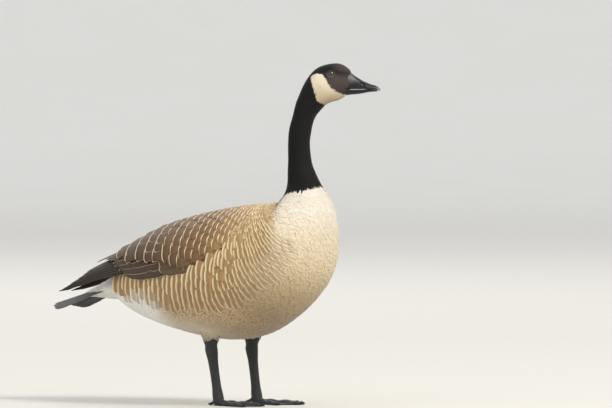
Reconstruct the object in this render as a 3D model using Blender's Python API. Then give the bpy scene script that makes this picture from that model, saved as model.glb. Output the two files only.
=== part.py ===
"""A life-size Canada goose, standing alert with its head turned to its left.

The bird faces +X and stands on the floor at z = 0. Body, neck and head are one loft through
named stations, parted by thin cuts. Wings and tail are overlapping vanes laid in tiers on two
plain guide surfaces, rooted in a pad that is cut to the body under it.
"""

import math

import bmesh
import bpy
from mathutils import Vector

# Every size below is in millimetres and every angle in degrees. MM turns a length into metres.
MM = 0.001
GAP = 0.3

# The head looks to the bird's left, turned about an upright axis through the neck.
HEAD_TURN = 28.0
NECK_AXIS_X = 125.0

# Sides of the body's sections, and rings from one station to the next.
BODY_SIDES = 24
BODY_STEPS = 2
SECTION_FULLNESS = 0.92

# Stations of the body: x and z on the back, x and z on the belly, half width, turn.
TRUNK = (
    (-210, 222, -218, 172, 28, 0),
    (-180, 246, -194, 156, 43, 0),
    (-145, 271, -158, 140, 64, 0),
    (-98, 296, -105, 124, 87, 0),
    (-45, 315, -45, 112, 103, 0),
    (5, 324, 10, 108, 108, 0),
    (42, 330, 62, 119, 107, 0),
    (68, 333, 110, 149, 104, 0),
    (83, 334, 146, 185, 98, 0),
    (90, 335, 165, 216, 90, 0),
    (94, 336, 175, 250, 80, 0),
    (96, 341, 179, 290, 65, 0),
    (99, 348, 177, 325, 48, 0),
    (101, 357, 169, 348, 35, 0),
    (102, 369, 159, 362, 27, 0),
    (102, 388, 147.5, 384, 22.5, 2),
    (102.4, 406, 141, 402, 19.5, 5),
    (102.2, 432, 138, 431, 18.5, 11),
    (104, 455, 140.3, 450, 18.5, 17),
    (110, 478, 144, 467, 19, 22),
    (115.3, 499, 149.2, 478.5, 20, 26),
    (121, 513, 158, 489, 21.5, HEAD_TURN),
    (126, 525, 165, 496, 23, HEAD_TURN),
    (132, 536, 174, 500.5, 24, HEAD_TURN),
    (140, 547, 180.4, 502, 24.5, HEAD_TURN),
    (150, 556, 185.5, 503.6, 24, HEAD_TURN),
    (163.6, 561.5, 191, 506.5, 23, HEAD_TURN),
    (181.6, 564, 197, 509, 20.5, HEAD_TURN),
    (193.6, 561, 201, 510.7, 17.8, HEAD_TURN),
    (202.7, 554.4, 205.2, 512, 15, HEAD_TURN),
    (209, 547, 209, 512.5, 13, HEAD_TURN),
    (212, 545, 212, 512.8, 12.6, HEAD_TURN),
)

# Where the trunk is parted: a point on each cut, and the way that the cut faces, both before the turn.
NECK_BASE_CUT = ((130, 353), (-0.1, 1.0), 0)
NECK_MID_CUT = ((121, 428), (0.0, 1.0), 11)
HEAD_CUT = ((142, 506), (0.572, 0.82), HEAD_TURN)
BILL_CUT = ((205.5, 530), (1.0, -0.17), HEAD_TURN)

# Bill stations, before the turn: x, top, mouth line and half width of the upper mandible.
BILL_SIDES = 16
UPPER_BILL = (
    (196, 549, 521.4, 13.4),
    (208, 547, 521.4, 12.8),
    (214, 542.3, 521.5, 12.2),
    (226.6, 534.6, 521.5, 10.8),
    (241.6, 528.5, 521.0, 9.0),
    (248.6, 526, 520.2, 7.2),
    (252.4, 523.6, 519.4, 4.2),
    (253.8, 521.6, 519.4, 1.5),
)
# The same for the lower mandible: x, mouth line, underside and half width.
LOWER_BILL = (
    (196, 520.6, 510.6, 11.6),
    (208, 520.8, 512.5, 11.2),
    (219.5, 520.9, 513.6, 10.0),
    (233.5, 520.9, 516.2, 8.4),
    (243.5, 520.2, 517.3, 6.6),
    (249.5, 519.4, 517.9, 3.2),
)
# The nostril: its middle before the turn, half sizes and lean.
NOSTRIL = (224.6, 10.14, 530.2)
NOSTRIL_HALF = (5.0, 3.0, 2.0)
NOSTRIL_LEAN = 20.0

# Eyes, before the turn: middle of the opening, its lean from upright, the ball and the lid's ring.
EYE_OPENING = (172.5, 20.0, 547.0)
EYE_LEAN = 0.28
EYE_RADIUS = 6.9
EYE_SET = 4.8
LID_RADIUS = 5.4
LID_THICK = 1.05

# Legs. Side is +1 for the left and -1 for the right, which stands a little further back.
HEEL = {+1: (9, 41, 92), -1: (-22, -41, 92)}
TOE_ROOT = {+1: (20, 39, 12), -1: (-10, -39, 12)}
# Thigh stations, down from the flank to the heel: height, shift back, shift out, half length,
# half width.
THIGH = (
    (185, 12, 22, 44, 22),
    (158, 9, 17, 34, 21),
    (135, 5, 9, 24, 17),
    (116, 2, 4, 16, 13),
    (101, 0, 1, 12.4, 10.4),
    (95, 0, 0, 10.4, 9.0),
)
# Shank stations: share of the way from heel to toe root, half length, half width.
SHANK = (
    (-0.035, 9.6, 7.8),
    (0.02, 11.0, 8.6),
    (0.1, 10.4, 7.8),
    (0.24, 9.0, 6.5),
    (0.5, 8.2, 5.9),
    (0.76, 8.3, 6.1),
    (0.9, 9.4, 7.3),
)
SHANK_SIDES = 12

# Toes: name, splay from straight ahead (outwards is positive), length to the claw, root radius.
TOES = (
    ("inner", -27.0, 60.0, 5.0),
    ("middle", 1.0, 80.0, 5.4),
    ("outer", 27.0, 72.0, 5.0),
)
TOE_TIP_RADIUS = 3.5
TOE_SIDES = 8
TOE_KNUCKLES = 3
TOE_SINK = 0.8
WEB_REACH = 0.94
WEB_DIP = 0.84
WEB_HEIGHT = 3.9
WEB_THICK = 1.6
WEB_OVERLAP = 1.5
# The hind toe: splay, reach and root radius, then shares of its reach with height and size there.
HALLUX = (154.0, 24.0, 3.4)
HALLUX_PATH = ((0, 12.0, 1.0), (0.4, 7.0, 0.92), (0.75, 3.2, 0.82), (1.0, 1.9, 0.66))
HALLUX_CLAW = (5.0, 1.9, 2.3)
CLAW_LENGTH = 8.0
CLAW_RADIUS = 2.4

# The folded wing's guide surface: x, height on the midline, half width, height of the widest place.
CLOAK = (
    (90, 328, 102, 228),
    (40, 326, 108, 222),
    (0, 321, 110, 220),
    (-60, 310, 106, 220),
    (-120, 291, 90, 220),
    (-180, 262, 67, 216),
    (-240, 235, 47, 208),
    (-300, 205, 31, 189),
    (-340, 190, 22, 178),
)
# The pad that the feathers root in: ends along x, edges in degrees from the midline, depth below
# the guide, rise over it, and cuts along and across.
PAD_ENDS = (66, -170)
PAD_EDGES = (20, 84)
PAD_DEPTH = 15.0
PAD_RISE = 1.2
PAD_CUTS = (7, 5)

# Feather rows of one wing: count, then root and tip of the first and last feather as (x, degrees),
# half width, height over the guide of the first and last, and the tilt that lets each lie over
# the next.
WING_ROWS = {
    "primaries": (5, ((-108, 80), (-102, 58)), ((-322, 84), (-270, 46)), 10.0, (-3.0, 0.8), 0.05),
    "tertials": (6, ((-30, 78), (-24, 34)), ((-166, 92), (-246, 22)), 18.0, (4.2, 4.2), 0.13),
    "greater_coverts": (6, ((10, 69), (-2, 36)), ((-76, 81), (-110, 42)), 16.0, (6.6, 6.6), 0.10),
    "median_coverts": (6, ((42, 58), (34, 30)), ((-26, 72), (-46, 36)), 15.0, (6.0, 6.0), 0.10),
    "lesser_coverts": (5, ((64, 44), (60, 26)), ((14, 60), (8, 31)), 14.0, (5.0, 5.0), 0.10),
    "scapulars": (4, ((24, 34), (28, 16)), ((-92, 38), (-108, 15)), 15.0, (9.6, 9.6), 0.12),
}
VANE_THICK = 0.6
VANE_SINK = 3.0
# Half width along a vane, from its root to its tip, as shares of the widest place.
VANE_SHAPE = (0.5, 0.85, 1.0, 0.85, 0.3)
VANE_COLUMNS = 2

# Tail: axis from its root to the middle tips, fan of vanes, and the coverts' core that holds them.
TAIL_ROOT = (-206, 203)
TAIL_SLOPE = -17.0
TAIL_REACH = 138.0
TAIL_VANES = 12
TAIL_SPREAD = 15.0
TAIL_HALF_WIDTH = 13.0
TAIL_SIDE_SHORTER = 13.0
TAIL_STEP = 1.15
TAIL_ARCH = 95.0
# Core stations along the tail's axis: distance, half width, rise above and drop below the axis.
TAIL_CORE = (
    (-8.0, 29.0, 17.0, 36.0),
    (16.0, 28.0, 12.0, 29.0),
    (40.0, 23.0, 7.5, 19.0),
    (60.0, 16.0, 4.5, 11.0),
    (76.0, 6.0, 2.0, 5.0),
)

# Finishes: linear colour, roughness and metallic value.
FINISHES = {
    "black_plumage": ((0.012, 0.011, 0.012), 0.75, 0.0),
    "body_plumage": ((0.62, 0.55, 0.45), 0.8, 0.0),
    "wing_plumage": ((0.16, 0.11, 0.07), 0.7, 0.0),
    "tail_plumage": ((0.02, 0.018, 0.017), 0.6, 0.0),
    "bill_horn": ((0.025, 0.026, 0.03), 0.35, 0.0),
    "leg_skin": ((0.03, 0.03, 0.034), 0.55, 0.0),
    "claw_horn": ((0.015, 0.014, 0.014), 0.3, 0.0),
    "eye_gloss": ((0.02, 0.01, 0.006), 0.05, 0.0),
}


def clear_scene():
    for old in list(bpy.data.objects):
        bpy.data.objects.remove(old)


def give_finish(item, finish):
    """Gives an object a material of its own, with the colours of that finish."""
    colour, roughness, metallic = FINISHES[finish]
    made = bpy.data.materials.new(f"{item.name}_{finish}")
    made.use_nodes = True
    shader = made.node_tree.nodes["Principled BSDF"]
    shader.inputs["Base Color"].default_value = (*colour, 1)
    shader.inputs["Roughness"].default_value = roughness
    shader.inputs["Metallic"].default_value = metallic
    item.data.materials.clear()
    item.data.materials.append(made)


def collection(name):
    """The collection of that name, made once."""
    found = bpy.data.collections.get(name)
    if not found:
        found = bpy.data.collections.new(name)
        bpy.context.scene.collection.children.link(found)
    return found


def mesh_object(name, bm, finish=None, into="canada_goose"):
    """A bmesh in metres as an object of one finish."""
    mesh = bpy.data.meshes.new(name)
    bm.to_mesh(mesh)
    bm.free()
    made = bpy.data.objects.new(name, mesh)
    collection(into).objects.link(made)
    if finish:
        give_finish(made, finish)
    return made


def loft(name, rings, finish=None, into="canada_goose"):
    """One closed skin through rings with the same number of points, capped at both ends."""
    bm = bmesh.new()
    loops = [[bm.verts.new(Vector(point) * MM) for point in ring] for ring in rings]
    for near, far in zip(loops, loops[1:]):
        for i, vertex in enumerate(near):
            j = (i + 1) % len(near)
            bm.faces.new((vertex, near[j], far[j], far[i]))
    bm.faces.new(loops[0])
    bm.faces.new(loops[-1])
    bmesh.ops.recalc_face_normals(bm, faces=bm.faces[:])
    return mesh_object(name, bm, finish, into)


def keep_largest(target):
    """Leaves only the largest closed surface of a mesh."""
    bm = bmesh.new()
    bm.from_mesh(target.data)
    waiting = set(bm.faces)
    shells = []
    while waiting:
        shell = []
        front = [waiting.pop()]
        while front:
            face = front.pop()
            shell.append(face)
            for edge in face.edges:
                for other in edge.link_faces:
                    if other in waiting:
                        waiting.remove(other)
                        front.append(other)
        shells.append(shell)
    shells.sort(key=lambda shell: sum(face.calc_area() for face in shell))
    lost = [face for shell in shells[:-1] for face in shell]
    if lost:
        bmesh.ops.delete(bm, geom=lost, context="FACES")
    bm.to_mesh(target.data)
    bm.free()


def combine(target, operation, others, solver="EXACT"):
    """Applies one Boolean of target with other closed meshes, which are then removed."""
    tools = bpy.data.collections.new("tools")
    bpy.context.scene.collection.children.link(tools)
    for other in others:
        for holder in list(other.users_collection):
            holder.objects.unlink(other)
        tools.objects.link(other)
    modifier = target.modifiers.new(operation, "BOOLEAN")
    modifier.operand_type = "COLLECTION"
    modifier.collection = tools
    modifier.operation = operation
    modifier.solver = solver
    graph = bpy.context.evaluated_depsgraph_get()
    made = bpy.data.meshes.new_from_object(target.evaluated_get(graph))
    target.modifiers.clear()
    target.data = made
    for other in list(others):
        bpy.data.objects.remove(other)
    bpy.data.collections.remove(tools)
    keep_largest(target)
    return target


def smooth_rows(rows, steps):
    """Rows of numbers with steps - 1 more between each pair, on a Catmull-Rom curve."""
    padded = [rows[0], *rows, rows[-1]]
    made = []
    for i in range(len(rows) - 1):
        for k in range(steps):
            t = k / steps
            made.append([spline(*column, t) for column in zip(*padded[i : i + 4])])
    made.append(list(rows[-1]))
    return made


def spline(a, b, c, d, t):
    """Catmull-Rom between b and c."""
    linear = (c - a) * t
    square = (2 * a - 5 * b + 4 * c - d) * t * t
    cube = (3 * b - a - 3 * c + d) * t**3
    return 0.5 * (2 * b + linear + square + cube)


def reading(rows, x):
    """A row of the table at x, its first column, on straight lines from row to row."""
    if x >= rows[0][0]:
        return rows[0]
    for near, far in zip(rows, rows[1:]):
        if x >= far[0]:
            share = (near[0] - x) / (near[0] - far[0])
            return [a + (b - a) * share for a, b in zip(near, far)]
    return rows[-1]


def turned(point, turn):
    """A point in millimetres, turned to the bird's left about the neck's axis."""
    angle = math.radians(turn)
    out = point[0] - NECK_AXIS_X
    x = NECK_AXIS_X + out * math.cos(angle) - point[1] * math.sin(angle)
    y = out * math.sin(angle) + point[1] * math.cos(angle)
    return Vector((x, y, point[2]))


def head_point(x, y, z):
    return turned((x, y, z), HEAD_TURN)


def shaped(value, fullness=SECTION_FULLNESS):
    """A sine or cosine made fuller, for a section a little squarer than an ellipse."""
    return math.copysign(abs(value) ** fullness, value)


def trunk_ring(row, grow):
    back_x, back_z, front_x, front_z, half_width, turn = row
    back = Vector((back_x, 0, back_z))
    front = Vector((front_x, 0, front_z))
    centre = (back + front) / 2
    up = (back - front) / 2
    up += up.normalized() * grow
    ring = []
    for k in range(BODY_SIDES):
        angle = 2 * math.pi * k / BODY_SIDES
        point = centre + up * shaped(math.cos(angle))
        point.y = (half_width + grow) * shaped(math.sin(angle))
        ring.append(turned(point, turn))
    return ring


def trunk(name, grow=0.0):
    """Body, neck and head in one skin. grow makes it that much larger all round."""
    rows = smooth_rows(TRUNK, BODY_STEPS)
    rings = [trunk_ring(row, grow) for row in rows]
    if grow:
        rings[0] = [point + Vector((-grow, 0, 0)) for point in rings[0]]
        rings[-1] = [point + Vector((grow, 0, 0)) for point in rings[-1]]
    return loft(name, rings)


def cut_plane(cut, side):
    """A cut's point and normal in metres, moved half a gap towards the kept side."""
    (x, z), (normal_x, normal_z), turn = cut
    place = turned((x, 0, z), turn)
    normal = (turned((x + normal_x, 0, z + normal_z), turn) - place).normalized()
    point = place - normal * side * GAP / 2
    return point * MM, normal * side


def parted(source, name, cuts, finish):
    """A closed copy of source, kept behind each cut. side is +1 to keep what lies below a cut."""
    bm = bmesh.new()
    bm.from_mesh(source.data)
    for cut, side in cuts:
        point, normal = cut_plane(cut, side)
        made = bmesh.ops.bisect_plane(
            bm,
            geom=bm.verts[:] + bm.edges[:] + bm.faces[:],
            plane_co=point,
            plane_no=normal,
            clear_outer=True,
        )
        rim = [item for item in made["geom_cut"] if isinstance(item, bmesh.types.BMEdge)]
        bmesh.ops.edgeloop_fill(bm, edges=rim)
    bmesh.ops.recalc_face_normals(bm, faces=bm.faces[:])
    return mesh_object(name, bm, finish)


def ellipsoid(name, centre, half, lean=0.0, segments=16, rings=10, into="tools_waiting"):
    """A sphere scaled to half sizes, leaned in its own upright plane and turned with the head."""
    bm = bmesh.new()
    bmesh.ops.create_uvsphere(bm, u_segments=segments, v_segments=rings, radius=1)
    tilt = math.radians(lean)
    swing = math.radians(HEAD_TURN)
    for vertex in bm.verts:
        x, y, z = (vertex.co[i] * half[i] for i in range(3))
        x, z = x * math.cos(tilt) + z * math.sin(tilt), z * math.cos(tilt) - x * math.sin(tilt)
        x, y = x * math.cos(swing) - y * math.sin(swing), x * math.sin(swing) + y * math.cos(swing)
        vertex.co = (Vector((x, y, z)) + Vector(centre)) * MM
    return mesh_object(name, bm, into=into)


def build_trunk():
    """Torso, two lengths of neck and the head, with lids round the eye sockets."""
    whole = trunk("whole")
    parted(whole, "torso", [(NECK_BASE_CUT, 1)], "body_plumage")
    parted(whole, "neck_lower", [(NECK_BASE_CUT, -1), (NECK_MID_CUT, 1)], "black_plumage")
    parted(whole, "neck_upper", [(NECK_MID_CUT, -1), (HEAD_CUT, 1)], "black_plumage")
    head = parted(whole, "head", [(HEAD_CUT, -1), (BILL_CUT, 1)], "black_plumage")
    bpy.data.objects.remove(whole)
    lids = [lid(side) for side in (1, -1)]
    combine(head, "UNION", lids)
    sockets = []
    for side in (1, -1):
        centre = eye_centre(side)
        radius = EYE_RADIUS + GAP
        sockets.append(ellipsoid("socket", centre, (radius,) * 3))
    combine(head, "DIFFERENCE", sockets)


def eye_centre(side):
    """The middle of an eyeball, set square behind its leaning opening."""
    x, y, z = EYE_OPENING
    inward = Vector((0, -1, -EYE_LEAN)).normalized() * EYE_SET
    return head_point(x, side * (y + inward.y), z + inward.z)


def lid(side):
    """The ring of lid on one side of the head, a little longer than high."""
    bm = bmesh.new()
    around, through = 18, 6
    loops = []
    for i in range(around):
        angle = 2 * math.pi * i / around
        reach = Vector((math.cos(angle) * 1.12, 0, math.sin(angle)))
        loop = []
        for j in range(through):
            bend = 2 * math.pi * j / through
            offset = reach * (LID_RADIUS + LID_THICK * math.cos(bend))
            out = EYE_OPENING[1] + 1.4 * LID_THICK * math.sin(bend) - EYE_LEAN * offset.z
            point = head_point(EYE_OPENING[0] + offset.x, side * out, EYE_OPENING[2] + offset.z)
            loop.append(bm.verts.new(point * MM))
        loops.append(loop)
    for i, loop in enumerate(loops):
        after = loops[(i + 1) % around]
        for j in range(through):
            k = (j + 1) % through
            bm.faces.new((loop[j], loop[k], after[k], after[j]))
    bmesh.ops.recalc_face_normals(bm, faces=bm.faces[:])
    return mesh_object("lid", bm, into="tools_waiting")


def build_eyes():
    for name, side in (("eye_left", 1), ("eye_right", -1)):
        centre = eye_centre(side)
        made = ellipsoid(name, centre, (EYE_RADIUS,) * 3, into="canada_goose")
        give_finish(made, "eye_gloss")


def bill_ring(x, flat_z, far_z, half_width):
    """A half section of the bill: flat along the mouth line, arched on the other side."""
    ring = []
    for k in range(BILL_SIDES + 1):
        angle = math.pi * k / BILL_SIDES
        y = half_width * shaped(math.cos(angle), 0.8)
        z = flat_z + (far_z - flat_z) * shaped(math.sin(angle), 0.9)
        ring.append(head_point(x, y, z))
    return ring


def build_bill():
    """Both mandibles, cut to the head's front face, with the mouth line open between them."""
    upper_rows = smooth_rows(UPPER_BILL, 2)
    lower_rows = smooth_rows(LOWER_BILL, 2)
    upper = loft("upper", [bill_ring(x, mouth, top, w) for x, top, mouth, w in upper_rows])
    lower = loft("lower", [bill_ring(x, mouth, under, w) for x, mouth, under, w in lower_rows])
    made = parted(upper, "bill_upper", [(BILL_CUT, -1)], "bill_horn")
    parted(lower, "bill_lower", [(BILL_CUT, -1)], "bill_horn")
    bpy.data.objects.remove(upper)
    bpy.data.objects.remove(lower)
    nostrils = []
    for side in (1, -1):
        centre = head_point(NOSTRIL[0], side * NOSTRIL[1], NOSTRIL[2])
        pit = ellipsoid("nostril", centre, NOSTRIL_HALF, NOSTRIL_LEAN, segments=12, rings=8)
        nostrils.append(pit)
    combine(made, "DIFFERENCE", nostrils)


def oval(centre, along, across, half_along, half_across, sides):
    """Points of an ellipse around centre."""
    ring = []
    for k in range(sides):
        angle = 2 * math.pi * k / sides
        ring.append(centre + along * half_along * math.cos(angle) + across * half_across * math.sin(angle))
    return ring


def build_leg(name, side):
    """Feathered thigh, cut to the belly over it, and the bare shank below the heel."""
    heel = Vector(HEEL[side])
    root = Vector(TOE_ROOT[side])
    forward, outward = Vector((1, 0, 0)), Vector((0, side, 0))
    rings = []
    for z, back, out, half_length, half_width in smooth_rows(THIGH, 2):
        centre = Vector((heel.x - back + 0.10 * (z - heel.z), heel.y + side * out, z))
        rings.append(oval(centre, forward, outward, half_length, half_width, 16))
    thigh = loft("thigh_" + name, rings)
    combine(thigh, "DIFFERENCE", [trunk("belly", GAP)])
    give_finish(thigh, "body_plumage")

    rings = []
    for share, half_length, half_width in smooth_rows(SHANK, 2):
        centre = heel.lerp(root, share)
        rings.append(oval(centre, forward, outward, half_length, half_width, SHANK_SIDES))
    loft("shank_" + name, rings, "leg_skin")


def toe(side, splay, length, root_radius):
    """One front toe: a tapering round bar with low knuckles, resting on the floor."""
    root = Vector(TOE_ROOT[side])
    angle = math.radians(splay)
    ahead = Vector((math.cos(angle), side * math.sin(angle), 0))
    across = Vector((-ahead.y, ahead.x, 0))
    rings = []
    stops = 3 * TOE_KNUCKLES
    for k in range(-1, stops + 1):
        share = k / stops
        radius = root_radius + (TOE_TIP_RADIUS - root_radius) * max(share, 0)
        radius *= 1 + 0.10 * math.cos(2 * math.pi * TOE_KNUCKLES * share)
        if k == stops:
            radius *= 0.72
        lift = (root.z - radius) * max(0, 1 - share * 3.2) ** 2
        centre = Vector((root.x, root.y, 0)) + ahead * length * share
        centre.z = radius - TOE_SINK + max(lift, 0) * 0.5
        rings.append(oval(centre, Vector((0, 0, 1)), across, radius, radius, TOE_SIDES))
    return loft("toe", rings, into="tools_waiting")


def web(side, first, second):
    """The web between two neighbouring toes, its front edge drawn back between their tips."""
    root = Vector((TOE_ROOT[side][0], TOE_ROOT[side][1], 0))
    rims = []
    for (_, splay, length, _), past in ((first, -WEB_OVERLAP), (second, WEB_OVERLAP)):
        angle = math.radians(splay + past)
        rims.append(Vector((math.cos(angle), side * math.sin(angle), 0)) * length)
    bm = bmesh.new()
    steps = 8
    base = bm.verts.new((root + Vector((0, 0, WEB_HEIGHT)) - (rims[0] + rims[1]) * 0.03) * MM)
    rim = []
    for k in range(steps + 1):
        share = k / steps
        reach = WEB_REACH - (WEB_REACH - WEB_DIP) * math.sin(math.pi * share)
        point = root + rims[0].lerp(rims[1], share) * reach
        point.z = WEB_HEIGHT - 0.9 * math.sin(math.pi * share)
        rim.append(bm.verts.new(point * MM))
    for near, far in zip(rim, rim[1:]):
        # Counted round the same way on both feet, so that the thickness goes down on both.
        bm.faces.new((base, near, far) if side > 0 else (base, far, near))
    bm.normal_update()
    bmesh.ops.solidify(bm, geom=bm.faces[:], thickness=WEB_THICK * MM)
    bmesh.ops.recalc_face_normals(bm, faces=bm.faces[:])
    return mesh_object("web", bm, into="tools_waiting")


def build_foot(name, side):
    """Three webbed toes and a hind toe, joined and cut flat where they rest on the floor."""
    heel = Vector(HEEL[side])
    root = Vector(TOE_ROOT[side])
    joint = heel.lerp(root, SHANK[-1][0] + GAP / (heel - root).length)
    forward, outward = Vector((1, 0, 0)), Vector((0, side, 0))
    rings = [
        oval(joint, forward, outward, SHANK[-1][1], SHANK[-1][2], SHANK_SIDES),
        oval(joint.lerp(root, 0.5) + Vector((0, 0, -1)), forward, outward, 10.0, 8.0, SHANK_SIDES),
        oval(Vector((root.x, root.y, 6)), forward, outward, 9.4, 7.8, SHANK_SIDES),
        oval(Vector((root.x, root.y, -0.6)), forward, outward, 6.5, 5.4, SHANK_SIDES),
    ]
    foot = loft("foot_" + name, rings)
    pieces = [toe(side, splay, length, radius) for _, splay, length, radius in TOES]
    pieces += [web(side, TOES[0], TOES[1]), web(side, TOES[1], TOES[2])]
    splay, reach, radius = HALLUX
    angle = math.radians(-splay)
    back = Vector((math.cos(angle), side * math.sin(angle), 0))
    up = Vector((0, 0, 1))
    across = back.cross(up)
    below = Vector((root.x, root.y, 0))
    rings = []
    for share, height, size in HALLUX_PATH:
        centre = below + back * reach * share + up * height
        rings.append(oval(centre, up, across, radius * size, radius * size, TOE_SIDES))
    pieces.append(loft("hind_toe", rings, into="tools_waiting"))
    combine(foot, "UNION", pieces)
    combine(foot, "DIFFERENCE", [floor_block()])
    give_finish(foot, "leg_skin")
    for toe_name, splay, length, _ in TOES:
        claw(f"claw_{name}_{toe_name}", side, splay, length)
    length, size, height = HALLUX_CLAW
    rings = claw_rings(below + back * (reach + GAP) + up * height, back, up, across, length, size)
    loft(f"claw_{name}_hind", rings, "claw_horn")


def floor_block():
    """A block whose top is the floor, to cut the soles flat."""
    bm = bmesh.new()
    bmesh.ops.create_cube(bm, size=1)
    bmesh.ops.scale(bm, vec=(0.6, 0.6, 0.05), verts=bm.verts[:])
    bmesh.ops.translate(bm, vec=(0, 0, -0.025), verts=bm.verts[:])
    return mesh_object("floor", bm, into="tools_waiting")


def claw_rings(start, ahead, over, across, length, radius):
    """A claw that tapers and hooks down from its root."""
    rings = []
    for share, size, drop in ((0, 1.0, 0), (0.35, 0.86, 0.02), (0.7, 0.55, 0.1), (1.0, 0.16, 0.2)):
        centre = start + ahead * length * share - over * length * drop
        rings.append(oval(centre, over, across, radius * size, radius * size * 0.9, 8))
    return rings


def claw(name, side, splay, length):
    root = Vector(TOE_ROOT[side])
    angle = math.radians(splay)
    ahead = Vector((math.cos(angle), side * math.sin(angle), 0))
    across = Vector((-ahead.y, ahead.x, 0))
    start = Vector((root.x, root.y, CLAW_RADIUS + 0.5)) + ahead * (length + GAP)
    rings = claw_rings(start, ahead, Vector((0, 0, 1)), across, CLAW_LENGTH, CLAW_RADIUS)
    loft(name, rings, "claw_horn")


def cloak(side):
    """The folded wing's guide surface on one side: (x, degrees from the midline) to a point."""
    rows = smooth_rows(CLOAK, 4)

    def at(x, degrees):
        _, top, half_width, middle = reading(rows, x)
        angle = math.radians(degrees)
        y = side * half_width * math.sin(angle)
        z = middle + (top - middle) * math.cos(angle)
        return Vector((x, y, z))

    return at


def surface_frame(surface, p, q, nudge=0.5):
    """A surface's point, its two slopes and its outward normal at (p, q)."""
    point = surface(p, q)
    slope_p = (surface(p + nudge, q) - surface(p - nudge, q)) / (2 * nudge)
    slope_q = (surface(p, q + nudge) - surface(p, q - nudge)) / (2 * nudge)
    return point, slope_p, slope_q, slope_p.cross(slope_q).normalized()


def beside(surface, p, q, ahead, distance, flip):
    """The surface's point and normal at that distance across the way ahead, measured along it."""
    _, slope_p, slope_q, normal = surface_frame(surface, p, q)
    across = (normal * flip).cross(ahead).normalized() * distance
    a, b, c = slope_p.dot(slope_p), slope_p.dot(slope_q), slope_q.dot(slope_q)
    d, e = slope_p.dot(across), slope_q.dot(across)
    bottom = a * c - b * b
    p_there = p + (c * d - b * e) / bottom
    q_there = q + (a * e - b * d) / bottom
    point, _, _, normal = surface_frame(surface, p_there, q_there)
    return point, normal * flip


def vane(surface, root, tip, half_width, height, tilt, flip, sink=VANE_SINK, lift=0.45):
    """One feather as a thin closed plate that follows a guide surface at a height over it.

    root and tip are places on the surface. The root sinks below the guide, and tilt raises one
    edge so that the next feather of the row can lie under it.
    """
    rows = len(VANE_SHAPE) - 1
    step_p, step_q = (tip[0] - root[0]) * 0.02, (tip[1] - root[1]) * 0.02
    bm = bmesh.new()
    bmesh.ops.create_grid(bm, x_segments=rows, y_segments=VANE_COLUMNS, size=1)
    # The grid runs from -1 to 1 both ways: x along the feather and y across it.
    for vertex in bm.verts:
        along = (vertex.co.x + 1) / 2
        p = root[0] + (tip[0] - root[0]) * along
        q = root[1] + (tip[1] - root[1]) * along
        ahead = (surface(p + step_p, q + step_q) - surface(p - step_p, q - step_q)).normalized()
        distance = vertex.co.y * half_width * VANE_SHAPE[round(along * rows)]
        point, normal = beside(surface, p, q, ahead, distance, flip)
        rise = height + tilt * distance
        if along < lift:
            rise = -sink + (rise + sink) * along / lift
        vertex.co = (point + normal * rise) * MM
    bmesh.ops.triangulate(bm, faces=bm.faces[:])
    bm.normal_update()
    bmesh.ops.solidify(bm, geom=bm.faces[:], thickness=VANE_THICK * MM)
    bmesh.ops.recalc_face_normals(bm, faces=bm.faces[:])
    return mesh_object("vane", bm, into="tools_waiting")


def wing_pad(name, surface):
    """The solid that the feathers root in, between two heights over the guide surface."""
    bm = bmesh.new()
    bmesh.ops.create_grid(bm, x_segments=PAD_CUTS[0], y_segments=PAD_CUTS[1], size=1)
    lower = {}
    for vertex in bm.verts:
        along = (vertex.co.x + 1) / 2
        around = (vertex.co.y + 1) / 2
        p = PAD_ENDS[0] + (PAD_ENDS[1] - PAD_ENDS[0]) * along
        # The pad is narrower at its front end.
        broad = 0.62 + 0.38 * min(1, along * 2.4)
        q = PAD_EDGES[0] + (PAD_EDGES[1] - PAD_EDGES[0]) * around * broad
        point, _, _, normal = surface_frame(surface, p, q)
        if normal.dot(point - Vector((p, 0, 150))) < 0:
            normal = -normal
        # The pad thins out to its rim, so that its edge meets the body and doesn't stand as a wall.
        rim = min(along, 1 - along, around, 1 - around)
        rise = PAD_RISE - (PAD_RISE + 4) * max(0, 1 - rim * 6)
        vertex.co = (point + normal * rise) * MM
        lower[vertex] = (point - normal * PAD_DEPTH) * MM
    made = bmesh.ops.extrude_face_region(bm, geom=bm.faces[:])
    fresh = [item for item in made["geom"] if isinstance(item, bmesh.types.BMVert)]
    by_place = {tuple(round(c, 9) for c in vertex.co): place for vertex, place in lower.items()}
    for vertex in fresh:
        vertex.co = by_place[tuple(round(c, 9) for c in vertex.co)]
    bmesh.ops.triangulate(bm, faces=bm.faces[:])
    bmesh.ops.recalc_face_normals(bm, faces=bm.faces[:])
    return mesh_object(name, bm)


def between(pair, share):
    return tuple(a + (b - a) * share for a, b in zip(*pair))


def build_wing(name, side):
    """One folded wing: its pad and every row of feathers in one solid, cut to the body."""
    surface = cloak(side)
    wing = wing_pad("wing_" + name, surface)
    vanes = []
    for count, roots, tips, half_width, heights, tilt in WING_ROWS.values():
        for k in range(count):
            share = k / (count - 1)
            root = between(roots, share)
            tip = between(tips, share)
            height = heights[0] + (heights[1] - heights[0]) * share
            vanes.append(vane(surface, root, tip, half_width, height, -side * tilt, side))
    combine(wing, "UNION", vanes)
    combine(wing, "DIFFERENCE", [trunk("body", GAP)])
    give_finish(wing, "wing_plumage")


def tail_surface(distance, across):
    """The fan's guide: a low arch around the tail's axis. Distance and across are in millimetres."""
    slope = math.radians(TAIL_SLOPE)
    drop = -across * across / (2 * TAIL_ARCH)
    x = TAIL_ROOT[0] - distance * math.cos(slope) + drop * math.sin(slope)
    z = TAIL_ROOT[1] + distance * math.sin(slope) + drop * math.cos(slope)
    return Vector((x, across, z))


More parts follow.
